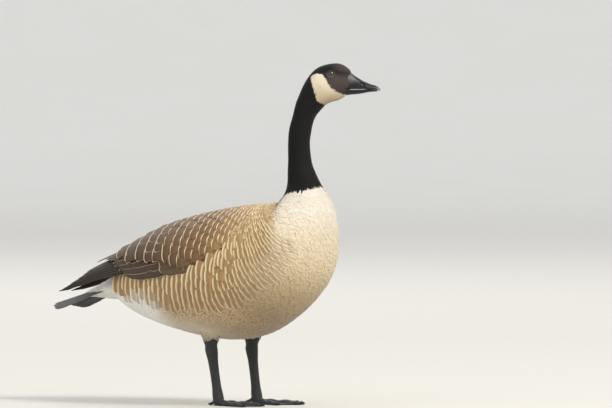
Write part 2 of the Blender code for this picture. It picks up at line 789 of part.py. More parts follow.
def build_tail():
    """The fan of tail feathers, rooted in the core that the tail coverts make."""
    slope = math.radians(TAIL_SLOPE)
    axis = Vector((-math.cos(slope), 0, math.sin(slope)))
    up = Vector((math.sin(slope), 0, math.cos(slope)))
    rings = []
    for distance, half_width, rise, drop in smooth_rows(TAIL_CORE, 2):
        middle = Vector((TAIL_ROOT[0], 0, TAIL_ROOT[1])) + axis * distance + up * (rise - drop) / 2
        rings.append(oval(middle, up, Vector((0, 1, 0)), (rise + drop) / 2, half_width, 16))
    tail = loft("tail", rings)
    vanes = []
    for k in range(TAIL_VANES):
        place = (k - (TAIL_VANES - 1) / 2) / ((TAIL_VANES - 1) / 2)
        angle = math.radians(TAIL_SPREAD * place)
        reach = TAIL_REACH - TAIL_SIDE_SHORTER * place * place
        root = (14, 13 * place)
        tip = (14 + (reach - 14) * math.cos(angle), root[1] + (reach - 14) * math.sin(angle))
        # Feathers lie lower from the middle out; those of one side sit half a step lower.
        height = -TAIL_STEP * (abs(k - (TAIL_VANES - 1) / 2) - (0.25 if k % 2 else 0)) + 1.0
        if place < 0:
            height -= TAIL_STEP / 2
        sink = 0.01 - height
        vanes.append(vane(tail_surface, root, tip, TAIL_HALF_WIDTH, height, 0.0, -1, sink))
    combine(tail, "UNION", vanes)
    combine(tail, "DIFFERENCE", [trunk("rump", GAP)])
    give_finish(tail, "tail_plumage")


def shade():
    for item in collection("canada_goose").objects:
        item.data.shade_smooth()
        item.data.set_sharp_from_angle(angle=math.radians(35))


def centre_on_origin():
    """Moves the whole bird so that the middle of its outline stands over the origin."""
    points = [v.co for item in collection("canada_goose").objects for v in item.data.vertices]
    low = Vector([min(p[i] for p in points) for i in range(3)])
    high = Vector([max(p[i] for p in points) for i in range(3)])
    middle = (low + high) / 2
    for item in collection("canada_goose").objects:
        item.location = (-middle.x, -middle.y, 0)


def remove_tools():
    """Removes the collection that held the cutters and the pieces before they were joined."""
    bpy.data.collections.remove(collection("tools_waiting"))


clear_scene()
build_trunk()
build_eyes()
build_bill()
for leg_name, leg_side in (("left", 1), ("right", -1)):
    build_leg(leg_name, leg_side)
    build_foot(leg_name, leg_side)
    build_wing(leg_name, leg_side)
build_tail()
shade()
centre_on_origin()
remove_tools()
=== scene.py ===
"""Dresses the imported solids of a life-size Canada goose: skin, feathers, bill, eyes, legs and feet.

The bird faces +X and stands on the floor at z = 0. Sizes are in millimetres and angles in degrees.
"""

import math

import bmesh
import bpy
import numpy as np
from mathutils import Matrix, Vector, kdtree

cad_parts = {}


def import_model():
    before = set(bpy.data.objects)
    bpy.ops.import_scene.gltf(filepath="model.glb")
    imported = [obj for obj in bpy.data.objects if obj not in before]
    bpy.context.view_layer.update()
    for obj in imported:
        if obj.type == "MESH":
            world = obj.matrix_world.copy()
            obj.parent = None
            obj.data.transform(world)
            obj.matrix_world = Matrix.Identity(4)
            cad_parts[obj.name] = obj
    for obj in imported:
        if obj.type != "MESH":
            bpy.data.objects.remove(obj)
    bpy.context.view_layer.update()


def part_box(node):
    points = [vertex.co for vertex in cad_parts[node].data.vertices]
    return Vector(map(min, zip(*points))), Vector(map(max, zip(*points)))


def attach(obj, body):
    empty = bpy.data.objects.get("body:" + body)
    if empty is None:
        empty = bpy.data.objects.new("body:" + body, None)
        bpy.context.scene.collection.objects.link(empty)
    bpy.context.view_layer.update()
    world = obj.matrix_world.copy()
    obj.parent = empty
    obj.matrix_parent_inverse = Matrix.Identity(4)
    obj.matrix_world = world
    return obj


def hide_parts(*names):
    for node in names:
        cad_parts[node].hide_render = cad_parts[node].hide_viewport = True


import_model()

# Body form. The real bird is one smooth shape of flesh under skin, from the stump of the tail to the
# base of the bill. It is drawn here as rings through stations, and everything else is set on it.
MM = 0.001
HEAD_TURN = 28.0
NECK_AXIS_X = 125.0
EYE_OPENING = (172.5, 20.0, 547.0)
# Each station gives x and z on the back, x and z on the belly, half the width, and the turn.
STATIONS = (
    (-210, 222, -218, 172, 28, 0),
    (-180, 246, -194, 156, 43, 0),
    (-145, 271, -158, 140, 64, 0),
    (-98, 296, -105, 124, 87, 0),
    (-45, 315, -45, 112, 103, 0),
    (5, 324, 10, 108, 108, 0),
    (42, 330, 62, 119, 107, 0),
    (68, 333, 110, 149, 104, 0),
    (83, 334, 146, 185, 98, 0),
    (90, 335, 165, 216, 90, 0),
    (94, 336, 175, 250, 80, 0),
    (96, 341, 179, 290, 65, 0),
    (99, 348, 177, 325, 48, 0),
    (101, 357, 169, 348, 35, 0),
    (102, 369, 159, 362, 27, 0),
    (102, 388, 147.5, 384, 22.5, 2),
    (102.4, 406, 141, 402, 19.5, 5),
    (102.2, 432, 138, 431, 18.5, 11),
    (104, 455, 140.3, 450, 18.5, 17),
    (110, 478, 144, 467, 19, 22),
    (115.3, 499, 149.2, 478.5, 20, 26),
    (121, 513, 158, 489, 21.5, HEAD_TURN),
    (126, 525, 165, 496, 23, HEAD_TURN),
    (132, 536, 174, 500.5, 24, HEAD_TURN),
    (140, 547, 180.4, 502, 24.5, HEAD_TURN),
    (150, 556, 185.5, 503.6, 24, HEAD_TURN),
    (163.6, 561.5, 191, 506.5, 23, HEAD_TURN),
    (181.6, 564, 197, 509, 20.5, HEAD_TURN),
    (193.6, 561, 201, 510.7, 17.8, HEAD_TURN),
    (202.7, 554.4, 205.2, 512, 15, HEAD_TURN),
    (209, 547, 209, 512.5, 13, HEAD_TURN),
    (212, 545, 212, 512.8, 12.6, HEAD_TURN),
)
STATION_STEPS = 8
RING_POINTS = 120
SECTION_FULLNESS = 0.92
# Coat depth by station: how far the skin lies inside the outline that the feathers make.
COAT_DEPTH = ((0, 4.0), (6, 4.5), (11, 3.6), (14, 2.6), (17, 2.0), (21, 1.5), (25, 1.0), (31, 0.8))

rng = np.random.default_rng(28)


def turned(points, turn):
    """Points in millimetres, turned to the bird's left about the neck's upright axis."""
    points = np.asarray(points, float)
    angle = np.radians(turn)
    out = points[..., 0] - NECK_AXIS_X
    x = NECK_AXIS_X + out * np.cos(angle) - points[..., 1] * np.sin(angle)
    y = out * np.sin(angle) + points[..., 1] * np.cos(angle)
    return np.stack([x, y, points[..., 2]], -1)


def head_place(x, y, z):
    """Places given before the head's turn, as they are after it."""
    return turned(np.stack([x, y, z], -1), HEAD_TURN)


def head_way(ways):
    """Ways and offsets, turned as the head is."""
    return turned(np.asarray(ways, float) + (NECK_AXIS_X, 0, 0), HEAD_TURN) - (NECK_AXIS_X, 0, 0)


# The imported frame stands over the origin, so the eyes tell how far it was moved from the drawing.
SIDES = {"left": 1, "right": -1}
eye_corners = [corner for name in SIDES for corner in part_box("eye_" + name)]
eye_middle = sum(eye_corners, Vector()) / len(eye_corners)
SHIFT = np.array(eye_middle) / MM - head_place(EYE_OPENING[0], 0, EYE_OPENING[2])
SHIFT[2] = 0.0


def world(points):
    """Millimetres in the drawing to metres in the shared frame."""
    return (np.asarray(points, float) + SHIFT) * MM


def drawing(points):
    """Metres in the shared frame to millimetres in the drawing."""
    return np.asarray(points, float) / MM - SHIFT


def splined(rows, steps):
    """A table of stations with steps - 1 more between each pair, on a Catmull-Rom curve."""
    rows = np.array(rows, float)
    ends = np.concatenate([rows[:1], rows, rows[-1:]])
    a, b, c, d = ends[:-3], ends[1:-2], ends[2:-1], ends[3:]
    t = np.arange(steps)[:, None, None] / steps
    made = 2 * b + (c - a) * t + (2 * a - 5 * b + 4 * c - d) * t**2 + (3 * b - a - 3 * c + d) * t**3
    made = made.transpose(1, 0, 2).reshape(-1, rows.shape[1]) / 2
    return np.vstack([made, rows[-1]])


def shaped(value, fullness=SECTION_FULLNESS):
    """A sine or cosine made fuller, for a section a little squarer than an ellipse."""
    return np.sign(value) * np.abs(value) ** fullness


def read_by(stops, value):
    """A number for each value, on straight lines between (value, number) stops."""
    return np.interp(value, [s[0] for s in stops], [s[1] for s in stops])


def unit(vectors):
    return vectors / np.maximum(np.linalg.norm(vectors, axis=-1, keepdims=True), 1e-12)


class Guide:
    """A surface that feathers are laid on: a grid of points in millimetres, along it and round it."""

    def __init__(self, points, closed, headward=1, outward=1):
        self.points, self.closed = points, closed
        self.rows, self.sides = points.shape[:2]
        self.along = np.gradient(points, axis=0)
        if closed:
            self.across = (np.roll(points, -1, 1) - np.roll(points, 1, 1)) / 2
        else:
            self.across = np.gradient(points, axis=1)
        self.normals = unit(np.cross(self.along, self.across)) * outward
        self.lie = unit(self.along) * -headward

    def pick(self, field, a, b):
        """Values of a field at places (a, b) of the grid, on straight lines past its ends."""
        i = np.clip(np.floor(a).astype(int), 0, self.rows - 2)
        f = (a - i)[..., None]
        if self.closed:
            whole = np.floor(b)
            j, k = whole.astype(int) % self.sides, (whole.astype(int) + 1) % self.sides
        else:
            whole = np.clip(np.floor(b), 0, self.sides - 2)
            j = whole.astype(int)
            k = j + 1
        g = (b - whole)[..., None]
        low = field[i, j] * (1 - g) + field[i, k] * g
        high = field[i + 1, j] * (1 - g) + field[i + 1, k] * g
        return low * (1 - f) + high * f

    def step(self, a, b, way):
        """How far (a, b) move for a small move along the surface."""
        u, v = self.pick(self.along, np.clip(a, 0, self.rows - 1), b), self.pick(self.across, a, b)
        p, q, r = (u * u).sum(-1), (u * v).sum(-1), (v * v).sum(-1)
        d, e = (u * way).sum(-1), (v * way).sum(-1)
        bottom = np.maximum(p * r - q * q, 1e-9)
        return (r * d - q * e) / bottom, (p * e - q * d) / bottom


def body_rings(side_points):
    rows = splined(STATIONS, STATION_STEPS)
    angle = np.linspace(0, 2 * np.pi, side_points, endpoint=False)
    back = np.stack([rows[:, 0], 0 * rows[:, 0], rows[:, 1]], -1)[:, None]
    front = np.stack([rows[:, 2], 0 * rows[:, 0], rows[:, 3]], -1)[:, None]
    points = (back + front) / 2 + (back - front) / 2 * shaped(np.cos(angle))[None, :, None]
    points[..., 1] = rows[:, 4:5] * shaped(np.sin(angle))[None]
    return turned(points, rows[:, 5:6])


# Swellings and hollows that the plain rings don't have, on both sides of the head: x, height and
# reach of each, and how far it stands out. They are the brow, the hollow before the eye, the cheek,
# and the groove from the corner of the mouth.
HEAD_FORMS = (
    (174, 556, 8, 1.3),
    (187, 543, 9, -1.6),
    (158, 547, 9, -0.8),
    (163, 522, 13, 1.4),
    (197, 520, 6, -0.9),
    (190, 530, 8, 0.8),
)


def with_head_forms(points):
    guide = Guide(points, True)
    upright = turned(points, -HEAD_TURN)
    moved = points.copy()
    for x, z, reach, height in HEAD_FORMS:
        away = (upright[..., 0] - x) ** 2 + (upright[..., 2] - z) ** 2
        side_on = np.clip(np.abs(upright[..., 1]) / 12, 0, 1)
        moved += guide.normals * (height * side_on * np.exp(-away / reach**2))[..., None]
    return moved


body = Guide(with_head_forms(body_rings(RING_POINTS)), True)
station_of_row = np.arange(body.rows) / STATION_STEPS
depth_of_row = read_by(COAT_DEPTH, station_of_row)


def eye_side(points):
    """Distance from the nearer eye's opening seen from the side, and the way there, before the turn."""
    away = turned(points, -HEAD_TURN) - np.array((EYE_OPENING[0], 0, EYE_OPENING[2]))
    away = away * (0.92, 0, 1)
    return np.linalg.norm(away, axis=-1), away


# Feathers flow round the eye as water does round a post.
EYE_CLEAR = 6.7
distance, away = eye_side(body.points)
outward_way = unit(head_way(away))
pull = ((EYE_CLEAR / np.maximum(distance, EYE_CLEAR)) ** 2)[..., None]
pull = np.where(body.points[..., 2:] > 480, pull, 0)
flowed = body.lie - pull * (2 * (body.lie * outward_way).sum(-1, keepdims=True) * outward_way - body.lie)
flowed -= body.normals * (flowed * body.normals).sum(-1, keepdims=True)
body.lie = unit(flowed + body.lie * 0.02)


def between(ends, share):
    """A number on the way from the first of a pair to the second."""
    return ends[0] + (ends[1] - ends[0]) * share


def linear(colour):
    """An sRGB hex colour as linear red, green and blue."""
    parts = [int(colour[i : i + 2], 16) / 255 for i in (1, 3, 5)]
    return np.array([p / 12.92 if p <= 0.04045 else ((p + 0.055) / 1.055) ** 2.4 for p in parts])


def rgba(colour):
    return (*linear(colour), 1)


def tinted(stops, value):
    """A colour for each value, between (value, hex colour) stops."""
    colours = np.array([linear(colour) for _, colour in stops])
    places = [place for place, _ in stops]
    return np.stack([np.interp(value, places, colours[:, i]) for i in range(3)], -1)


# Plumage colours. Black melanin makes the head and neck, brown melanin the back, and the white
# feathers hold no pigment.
NECK_BLACK = "#0a090a"
CHEEK_PATCH = (
    (139.3, 540), (142, 544.5), (150, 547), (157.6, 545.4), (162.2, 540), (167.7, 531), (173.2, 522.5),
    (182.3, 517), (191.5, 513.3), (198.5, 511), (199, 505), (185, 490), (163, 494.5), (158, 497.2),
    (153.5, 499.5), (149, 503.5), (146.5, 513), (143, 524.4), (140.2, 533.5),
)
BREAST = (
    (140, "#a48e72"), (175, "#b7a07c"), (205, "#c9b38c"), (250, "#dfcba9"), (300, "#e4d6bc"),
    (335, "#e9e0d0"), (355, "#ece5d9"),
)
FLANK = "#b48f60"
FLANK_RIM = "#e8d2a9"
MANTLE = "#b39364"
MANTLE_RIM = "#d2b585"
BELLY = "#dccdb0"
VENT = "#f3f0e9"
RUMP = "#1d1815"
# Brown of the face: on the lores partly their own tint, on the brow painted sunlit sheen.
FACE_BROWN_AND_SHEEN = "#4c413e"


def inside(outline, x, z):
    """Whether each point lies within an outline."""
    found = np.zeros(np.shape(x), bool)
    ends = outline[1:] + outline[:1]
    for (x0, z0), (x1, z1) in zip(outline, ends):
        crosses = (z0 > z) != (z1 > z)
        with np.errstate(divide="ignore", invalid="ignore"):
            found ^= crosses & (x < (x1 - x0) * (z - z0) / (z1 - z0) + x0)
    return found


def smooth(low, high, value):
    t = np.clip((value - low) / (high - low), 0, 1)
    return t * t * (3 - 2 * t)


def blended(first, second, share):
    return first * (1 - share[..., None]) + second * share[..., None]


def markings(points, round_share):
    """Ground and rim colours of the plumage at points of the body. round_share is 0 on the back's
    midline, 1 on the breast's."""
    x, z = points[..., 0], points[..., 2]
    upright = turned(points, -HEAD_TURN)
    down = -np.cos(np.pi * round_share)
    breast = tinted(BREAST, z + 0.25 * (x - 110) * (z < 330))
    rim = breast * 1.05
    ground = breast * 0.96
    side = smooth(92, 35, x + 0.12 * (z - 200)) * smooth(120, 150, z)
    under = smooth(0.55, 0.9, down) * smooth(60, -40, x)
    vent = smooth(-70, -130, x) * smooth(-0.25, 0.15, down)
    upper = smooth(0.62, 0.46, round_share) * smooth(118, 96, x + 0.3 * (z - 330))
    rump = smooth(-135, -160, x) * smooth(0.5, 0.4, round_share)
    # Where each colour lies, then its ground and rim and how much of each shows, the last one on top.
    fields = (
        (side, linear(FLANK), 0.75, linear(FLANK_RIM), 0.45),
        (under, linear(BELLY), 1, linear(VENT), 0.4),
        (vent, linear(VENT), 1, linear(VENT), 1),
        (upper, linear(MANTLE), 1, linear(MANTLE_RIM), 1),
        (rump, linear(RUMP), 1, linear(RUMP) * 1.6, 1),
    )
    for field, field_ground, ground_share, field_rim, rim_share in fields:
        ground = blended(ground, field_ground, field * ground_share)
        rim = blended(rim, field_rim, field * rim_share)
    # The stocking: black above a line that dips down the nape.
    edge = 352 + 9 * np.clip(down, 0, 1) - 27 * np.clip(-down, 0, 1) ** 6
    black = (z > edge) & (x > 84)
    head = upright[..., 2] > 470
    # Painted sunlit sheen: the brow on the top of the head is browned where the light falls. The lores take
    # the same brown, partly their own tint and partly painted warm reflection.
    brow = smooth(170, 190, upright[..., 0]) * smooth(550, 561, z + 0.2 * (upright[..., 0] - 170)) * 0.7
    lores = smooth(160, 172, upright[..., 0] + 0.35 * (z - 530)) * smooth(553, 538, z) * smooth(512, 520, z)
    brown_and_sheen = np.clip(np.maximum(brow, lores * 0.75), 0, 1) * head
    face = blended(linear(NECK_BLACK), linear(FACE_BROWN_AND_SHEEN), brown_and_sheen)
    ground = np.where(black[..., None], face, ground)
    rim = np.where(black[..., None], face * 1.25, rim)
    cheek = inside(CHEEK_PATCH, upright[..., 0], upright[..., 2]) & head
    cream = tinted(((497, "#b6a183"), (508, "#d3c2a3"), (530, "#e3d6bd"), (546, "#eadfca")), z)
    ground = np.where(cheek[..., None], cream, ground)
    rim = np.where(cheek[..., None], cream * 1.03, rim)
    return ground, rim


def feed(made, inputs):
    """Sets a node's inputs to values, or links them from other nodes' outputs."""
    for key, value in inputs.items():
        if isinstance(value, bpy.types.NodeSocket):
            made.id_data.links.new(value, made.inputs[key])
        else:
            made.inputs[key].default_value = value


def node(tree, kind, inputs=None, **settings):
    """One shader node with its settings and its inputs."""
    made = tree.nodes.new("ShaderNode" + kind)
    for key, value in settings.items():
        setattr(made, key, value)
    feed(made, inputs or {})
    return made


def finish_named(name):
    """A new material with its node tree and its Principled shader."""
    made = bpy.data.materials.new(name)
    made.use_nodes = True
    return made, made.node_tree, made.node_tree.nodes["Principled BSDF"]


def skin_finish():
    """Feathered skin: the plumage's own colours with painted shade, darkened a little for the shade between
    the feather roots.
    """
    made, tree, shader = finish_named("skin_under_down")
    place = node(tree, "TexCoord").outputs["Object"]
    plumage = node(tree, "Attribute", attribute_name="ground").outputs["Color"]
    # Follicle bumps stand about 1.2 mm apart.
    bumps = node(tree, "TexVoronoi", {"Vector": place, "Scale": 800.0}).outputs["Distance"]
    # Painted shade: the plumage colour is mixed a little towards black, for the shade under the coat.
    shade = node(tree, "Mix", {"Factor": 0.12, "A": plumage, "B": (0.01, 0.009, 0.008, 1)}, data_type="RGBA")
    lifted = node(tree, "Bump", {"Height": bumps, "Distance": 0.0004, "Strength": 0.5}).outputs["Normal"]
    feed(shader, {"Base Color": shade.outputs["Result"], "Normal": lifted, "Roughness": 0.85})
    return made


def show(name, mesh, finish, replaced=()):
    """A finished piece in the scene, riding on the body."""
    made = bpy.data.objects.new(name, mesh)
    bpy.context.scene.collection.objects.link(made)
    mesh.materials.clear()
    mesh.materials.append(finish)
    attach(made, "root")
    if replaced:
        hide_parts(*replaced)
    return made


def mesh_from(bm, name):
    """The mesh that a bmesh holds, smooth."""
    mesh = bpy.data.meshes.new(name)
    bm.to_mesh(mesh)
    bm.free()
    mesh.shade_smooth()
    return mesh


def tube(points, name, endless=False):
    """A grid drawn into a tube through rings of points and welded along its seam. Its ends are closed,
    or meet each other where it is endless, as a lid is."""
    rows, sides = points.shape[:2]
    spans = rows if endless else rows - 1
    bm = bmesh.new()
    bmesh.ops.create_grid(bm, x_segments=spans, y_segments=sides, size=1)
    for vertex in bm.verts:
        i = round((vertex.co.x + 1) / 2 * spans) % rows
        j = round((vertex.co.y + 1) / 2 * sides) % sides
        vertex.co = points[i, j]
    bmesh.ops.remove_doubles(bm, verts=bm.verts[:], dist=1e-7)
    if not endless:
        bmesh.ops.edgeloop_fill(bm, edges=[edge for edge in bm.edges if edge.is_boundary])
    bmesh.ops.recalc_face_normals(bm, faces=bm.faces[:])
    return mesh_from(bm, name)


def modified(mesh, kind, **settings):
    """A new mesh, as one modifier makes it from the given one."""
    holder = bpy.data.objects.new("holder", mesh)
    bpy.context.scene.collection.objects.link(holder)
    modifier = holder.modifiers.new(kind, kind)
    for key, value in settings.items():
        setattr(modifier, key, value)
    graph = bpy.context.evaluated_depsgraph_get()
    made = bpy.data.meshes.new_from_object(holder.evaluated_get(graph))
    bpy.data.objects.remove(holder)
    made.shade_smooth()
    return made


def joined(target, others, operation="UNION"):
    """The mesh of target after one Boolean with closed meshes, all in metres."""
    tools = bpy.data.collections.new("tools")
    bpy.context.scene.collection.children.link(tools)
    items = [bpy.data.objects.new("tool", other) for other in others]
    for item in items:
        tools.objects.link(item)
    settings = {"operand_type": "COLLECTION", "collection": tools, "operation": operation, "solver": "EXACT"}
    made = modified(target, "BOOLEAN", **settings)
    for item in items:
        bpy.data.objects.remove(item)
    bpy.data.collections.remove(tools)
    return made


# Thighs: muscle under feathered skin, from the flank down to the heel. They are drawn here as guides,
# for the hide and the feathers that lie on them. The left leg stands a little further forward.
HEEL = {+1: (9, 41, 92), -1: (-22, -41, 92)}
TOE_ROOT = {+1: (20, 39, 12), -1: (-10, -39, 12)}
# Thigh stations from the flank down to the heel: height, back-shift, out-shift, half length, half width.
THIGH = (
    (205, 14, 24, 46, 18),
    (185, 12, 22, 44, 22),
    (158, 9, 17, 34, 21),
    (135, 5, 9, 24, 17),
    (116, 2, 4, 16, 13),
    (101, 0, 1, 12.4, 10.4),
    (95, 0, 0, 10.4, 9.0),
)
THIGH_SIDES = 48


def ovals(centres, half_along, half_across, sides):
    """Rings of ovals, level and pointing ahead, round each centre."""
    angle = np.linspace(0, 2 * np.pi, sides, endpoint=False)
    x = np.asarray(half_along)[:, None] * np.cos(angle)
    y = np.asarray(half_across)[:, None] * np.sin(angle)
    return np.asarray(centres)[:, None] + np.stack([x, y, 0 * x], -1)


def thigh_rings(side):
    heel = HEEL[side]
    z, back, out, half_length, half_width = splined(THIGH, 6).T
    centres = np.stack([heel[0] - back + 0.10 * (z - heel[2]), heel[1] + side * out, z], -1)
    return ovals(centres, half_length, half_width, THIGH_SIDES)


thighs = {side: Guide(thigh_rings(side), True, headward=-1) for side in SIDES.values()}

# Skin: the one hide of the bird, from rump to bill and down both thighs, with a ring of lid round
# each eye. Tanned and mounted it lies close over the body, a coat's depth inside the outline.
LID_RADIUS = 5.35
LID_THICK = 0.85
EYE_LEAN = 0.28
EYE_RADIUS = 6.9
EYE_SET = 4.8
SOCKET_GAP = 0.15
# The plane that closes the head under the bill, as a place and a way, and by height the x where the
# feathers end on the bill.
BILL_EDGE = ((205.5, 530), (1.0, -0.17))
FEATHER_EDGE = ((510, 197), (516, 199.5), (524, 203), (533, 203), (541, 200.5), (547, 205), (552, 208))
# Feathers and skin above this height are the head's.
HEAD_FROM = 500
THIGH_COAT = 2.5


def eye_centre(side):
    """The middle of an eyeball, set square behind its leaning opening."""
    x, y, z = EYE_OPENING
    inward = unit(np.array((-1.0, -EYE_LEAN))) * EYE_SET
    return head_place(x, side * (y + inward[0]), z + inward[1])


def lid_rings(side):
    """The lids' ring: a little longer than high, drawn to a corner before and behind the eye."""
    around, through = 96, 16
    angle = np.linspace(0, 2 * np.pi, around, endpoint=False)[:, None]
    bend = np.linspace(0, 2 * np.pi, through, endpoint=False)[None]
    corner = np.abs(np.cos(angle)) ** 6
    width = LID_THICK * (1 - 0.25 * corner) * np.where(np.sin(angle) > 0, 1.12, 1.0)
    # Fine folds run across the lids' edge.
    width = width * (1 + 0.07 * np.sin(26 * angle) * np.cos(bend / 2) ** 2)
    radius = LID_RADIUS + width * np.cos(bend)
    x = np.cos(angle) * (1.1 + 0.16 * corner) * radius
    z = np.sin(angle) * radius * np.where(np.sin(angle) > 0, 0.93, 0.98)
    out = EYE_OPENING[1] + 1.1 * width * np.sin(bend) - EYE_LEAN * z
    return head_place(EYE_OPENING[0] + x, side * out, EYE_OPENING[2] + z)


def ball(centre, radius, name):
    """A closed ball, its poles along the head's upright."""
    bm = bmesh.new()
    bmesh.ops.create_uvsphere(bm, u_segments=48, v_segments=32, radius=1)
    for vertex in bm.verts:
        vertex.co = world(head_way(np.array(vertex.co) * radius) + centre)
    return mesh_from(bm, name)


def cut_at_bill(mesh):
    """Cuts the head off at the feather edge round the bill and closes it there."""
    (x, z), (normal_x, normal_z) = BILL_EDGE
    point = world(head_place(x, 0, z))
    normal = unit(head_way((normal_x, 0, normal_z)))
    bm = bmesh.new()
    bm.from_mesh(mesh)
    everything = bm.verts[:] + bm.edges[:] + bm.faces[:]
    cut = bmesh.ops.bisect_plane(
        bm, geom=everything, plane_co=Vector(point), plane_no=Vector(normal), clear_outer=True
    )
    rim = [item for item in cut["geom_cut"] if isinstance(item, bmesh.types.BMEdge)]
    bmesh.ops.edgeloop_fill(bm, edges=rim)
    bmesh.ops.recalc_face_normals(bm, faces=bm.faces[:])
    bm.to_mesh(mesh)
    bm.free()


def paint(mesh, name, colours):
    """Stores linear colours on the mesh's points."""
    layer = mesh.attributes.new(name, "FLOAT_COLOR", "POINT")
    layer.data.foreach_set("color", np.hstack([colours, np.ones((len(colours), 1))]).ravel())


def mark(mesh, name, values):
    """Stores a number on each of the mesh's points."""
    mesh.attributes.new(name, "FLOAT", "POINT").data.foreach_set("value", values)


def mesh_points(mesh):
    found = np.empty(len(mesh.vertices) * 3)
    mesh.vertices.foreach_get("co", found)
    return drawing(found.reshape(-1, 3))


def share_round(points):
    """How far each point of the body is from the back's midline to the breast's, 0 to 1."""
    tree = kdtree.KDTree(body.rows * body.sides)
    for i, point in enumerate(body.points.reshape(-1, 3)):
        tree.insert(point, i)
    tree.balance()
    nearest = np.array([tree.find(point)[1] for point in points]) % body.sides
    return 1 - np.abs(nearest / body.sides * 2 - 1)


def feather_edge(upright):
    """How far a point of the head lies behind the feathers' edge on the bill, seen from the side."""
    return read_by(FEATHER_EDGE, upright[..., 2]) - upright[..., 0]


def make_skin():
    # Ahead of the feathers' edge the skin dips under the horn of the bill.
    upright = turned(body.points, -HEAD_TURN)
    at_bill = (upright[..., 2] > HEAD_FROM) & (upright[..., 0] > 185)
    dip = smooth(0.5, -1.5, feather_edge(upright)) * at_bill * 3.5
    drawn_in = body.points - body.normals * (depth_of_row[:, None] + dip)[..., None]
    mesh = tube(world(drawn_in), "skin")
    cut_at_bill(mesh)
    legs = [tube(world(guide.points - guide.normals * THIGH_COAT), "thigh") for guide in thighs.values()]
    lids = [tube(world(lid_rings(side)), "lid", endless=True) for side in SIDES.values()]
    mesh = joined(mesh, legs + lids)
    sockets = [ball(eye_centre(side), EYE_RADIUS + SOCKET_GAP, "socket") for side in SIDES.values()]
    mesh = joined(mesh, sockets, "DIFFERENCE")
    points = mesh_points(mesh)
    ground, _ = markings(points, share_round(points))
    away, _ = eye_side(points)
    ring = (away < 6.9) & (points[:, 2] > HEAD_FROM)
    lid = tinted(((541, "#6b6661"), (546, "#4a4745"), (551, "#2c2a2a")), points[:, 2])
    ground = np.where(ring[:, None], lid, ground)
    paint(mesh, "ground", ground)
    mesh.name = "skin"
    return mesh


skin = show(
    "skin",
    make_skin(),
    skin_finish(),
    ("torso", "neck_lower", "neck_upper", "head", "thigh_left", "thigh_right"),
)

# Small feathers. Each is a thin vane on a hollow shaft, rooted in the skin and lying towards the tail
# over the roots of the next. They are laid thousands at a time, as arrays, and joined into a few coats.
BARB_LAG = 0.9
SHADING_LEAN = 0.75


class Vane:
    """A flat feather to copy: rows along it and columns across, closed as a thin lens."""

    def __init__(self, rows, columns, outline, tip_round=0.9):
        bm = bmesh.new()
        bmesh.ops.create_grid(bm, x_segments=rows, y_segments=columns, size=1)
        under = bmesh.ops.duplicate(bm, geom=bm.faces[:])["geom"]
        faces = [item for item in under if isinstance(item, bmesh.types.BMFace)]
        bmesh.ops.reverse_faces(bm, faces=faces)
        for item in under:
            if isinstance(item, bmesh.types.BMVert) and max(abs(item.co.x), abs(item.co.y)) < 0.999:
                item.co.z = -1
        bmesh.ops.remove_doubles(bm, verts=bm.verts[:], dist=1e-5)
        bm.verts.index_update()
        place = np.array([vertex.co[:] for vertex in bm.verts])
        # Rows stand closer towards the tip, where the outline rounds off.
        share = (place[:, 0] + 1) / 2
        self.tau = 1 - (1 - share) ** 1.35
        self.sigma = place[:, 1]
        self.under = place[:, 2] < -0.5
        self.row = np.round(share * rows).astype(int)
        self.rows = rows
        self.width = read_by(outline, self.tau)
        self.bow = tip_round * (1 - np.sqrt(1 - 0.9 * self.sigma**2)) * self.tau**2
        self.faces = np.array([[vertex.index for vertex in face.verts] for face in bm.faces])
        self.face_under = np.array([min(v.co.z for v in face.verts) < -0.5 for face in bm.faces])
        bm.free()


TAPERED = ((0, 0.35), (0.3, 0.95), (0.6, 1.0), (0.85, 0.66), (1.0, 0.16))
SOFT = ((0, 0.3), (0.3, 0.85), (0.6, 1.0), (0.85, 0.9), (1.0, 0.5))
down_vane = Vane(4, 2, TAPERED, 0.3)
neck_vane = Vane(5, 2, TAPERED, 0.3)
body_vane = Vane(6, 2, SOFT, 0.4)


